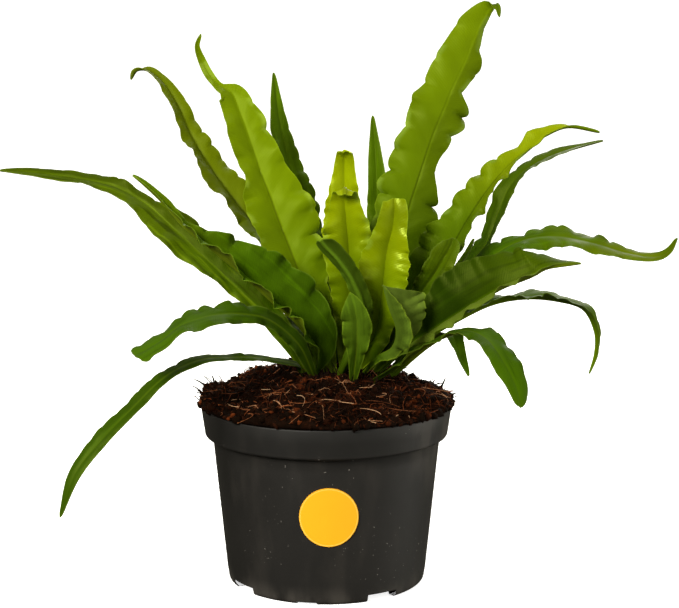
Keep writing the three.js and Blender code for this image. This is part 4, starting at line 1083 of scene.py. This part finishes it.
# Each light: where it stands, how wide it is and its power
LIGHTS = {
    "key": ((-0.8, -1.25, 0.95), 0.6, 56),
    "fill": ((0.9, -1.3, 0.5), 1.2, 9),
    "side": ((1.3, -0.05, 0.06), 0.6, 10),
    "top": ((0.1, 0.2, 1.6), 0.8, 6),
    "back": ((0.4, 1.2, 1.0), 0.9, 15),
}
LIGHT_AIM = Vector((0, 0, 0.17))
LIGHT_COLOUR = (1.0, 0.975, 0.88)
SKY_COLOUR = (1.0, 0.955, 0.72, 1)
SKY_BRIGHTNESS = {"From Min": -0.3, "From Max": 0.7, "To Min": 0.10, "To Max": 0.42}
FLOOR_FLAT = 1.6
FLOOR_CURVE = 1.4
FLOOR_SIDES = 64
CAMERA_PLACE = (0.0079, -1.1, 0.345)
CAMERA_TILT = 9.14
CAMERA_LENS = 98.8


def studio_floor():
    """A plain pale floor that sweeps up all round."""
    finish = Finish("studio_floor")
    material = finish.done(finish.principled(
        Base_Color=finish.mix(finish.noise(60, 2.0), (0.80, 0.80, 0.80), (0.82, 0.82, 0.82)),
        Roughness=0.9, Specular_IOR_Level=0.1, Emission_Color=(1.0, 1.0, 1.0),
        Emission_Strength=0.85))
    profile = [(0.001, 0.0), (0.5, 0.0), (FLOOR_FLAT, 0.0)]
    profile += [(FLOOR_FLAT + FLOOR_CURVE * math.sin(a), FLOOR_CURVE - FLOOR_CURVE * math.cos(a))
                for a in np.linspace(0.1, math.pi / 2, 12)]
    profile += [(FLOOR_FLAT + FLOOR_CURVE, 5.0)]
    angles = np.arange(FLOOR_SIDES) * FULL_TURN / FLOOR_SIDES
    points = [(r * math.cos(a), r * math.sin(a), z) for r, z in profile for a in angles]
    mesh = bpy.data.meshes.new("floor")
    mesh.from_pydata(points, [], ring_faces(len(profile), FLOOR_SIDES).tolist())
    mesh.polygons.foreach_set("use_smooth", np.ones(len(mesh.polygons), bool))
    mesh.materials.append(material)
    floor = bpy.data.objects.new("floor", mesh)
    for ray in ("diffuse", "glossy", "transmission", "shadow"):
        setattr(floor, "visible_" + ray, False)
    bpy.context.scene.collection.objects.link(floor)


def studio():
    """The floor, a sky that is brighter above, soft lights and the camera."""
    studio_floor()
    scene = bpy.context.scene
    world = bpy.data.worlds.new("studio")
    world.use_nodes = True
    scene.world = world
    tree = world.node_tree
    background = tree.nodes["Background"]
    background.inputs["Color"].default_value = SKY_COLOUR
    direction = tree.nodes.new("ShaderNodeTexCoord")
    parts = tree.nodes.new("ShaderNodeSeparateXYZ")
    sky = tree.nodes.new("ShaderNodeMapRange")
    for key, value in SKY_BRIGHTNESS.items():
        sky.inputs[key].default_value = value
    tree.links.new(direction.outputs["Generated"], parts.inputs[0])
    tree.links.new(parts.outputs["Z"], sky.inputs["Value"])
    tree.links.new(sky.outputs[0], background.inputs["Strength"])

    for name, (place, size, power) in LIGHTS.items():
        data = bpy.data.lights.new(name, "AREA")
        data.color = LIGHT_COLOUR
        data.energy = power
        data.size = size
        light = bpy.data.objects.new(name, data)
        light.location = place
        light.rotation_euler = (LIGHT_AIM - Vector(place)).to_track_quat("-Z", "Y").to_euler()
        scene.collection.objects.link(light)

    data = bpy.data.cameras.new("camera")
    data.sensor_width = 36
    data.lens = CAMERA_LENS
    camera = bpy.data.objects.new("camera", data)
    camera.location = CAMERA_PLACE
    camera.rotation_euler = (math.radians(90 - CAMERA_TILT), 0, 0)
    scene.collection.objects.link(camera)
    scene.camera = camera
    scene.view_settings.view_transform = "Standard"


# What makes each kind of loose piece, with the seed of its places and how many there are
LOOSE = (
    (soil_crumbs, 11, 3200), (soil_shreds, 14, 1500), (soil_fibres, 12, 800),
    (long_fibres, 16, 90), (rim_twigs, 15, 46), (crown_piece, 13, 260),
)

pot_piece()
label_piece()
soil_mound()
for make, seed, amount in LOOSE:
    make(np.random.default_rng(seed), amount)
for frond_name in FRONDS:
    frond_piece(frond_name)
studio()
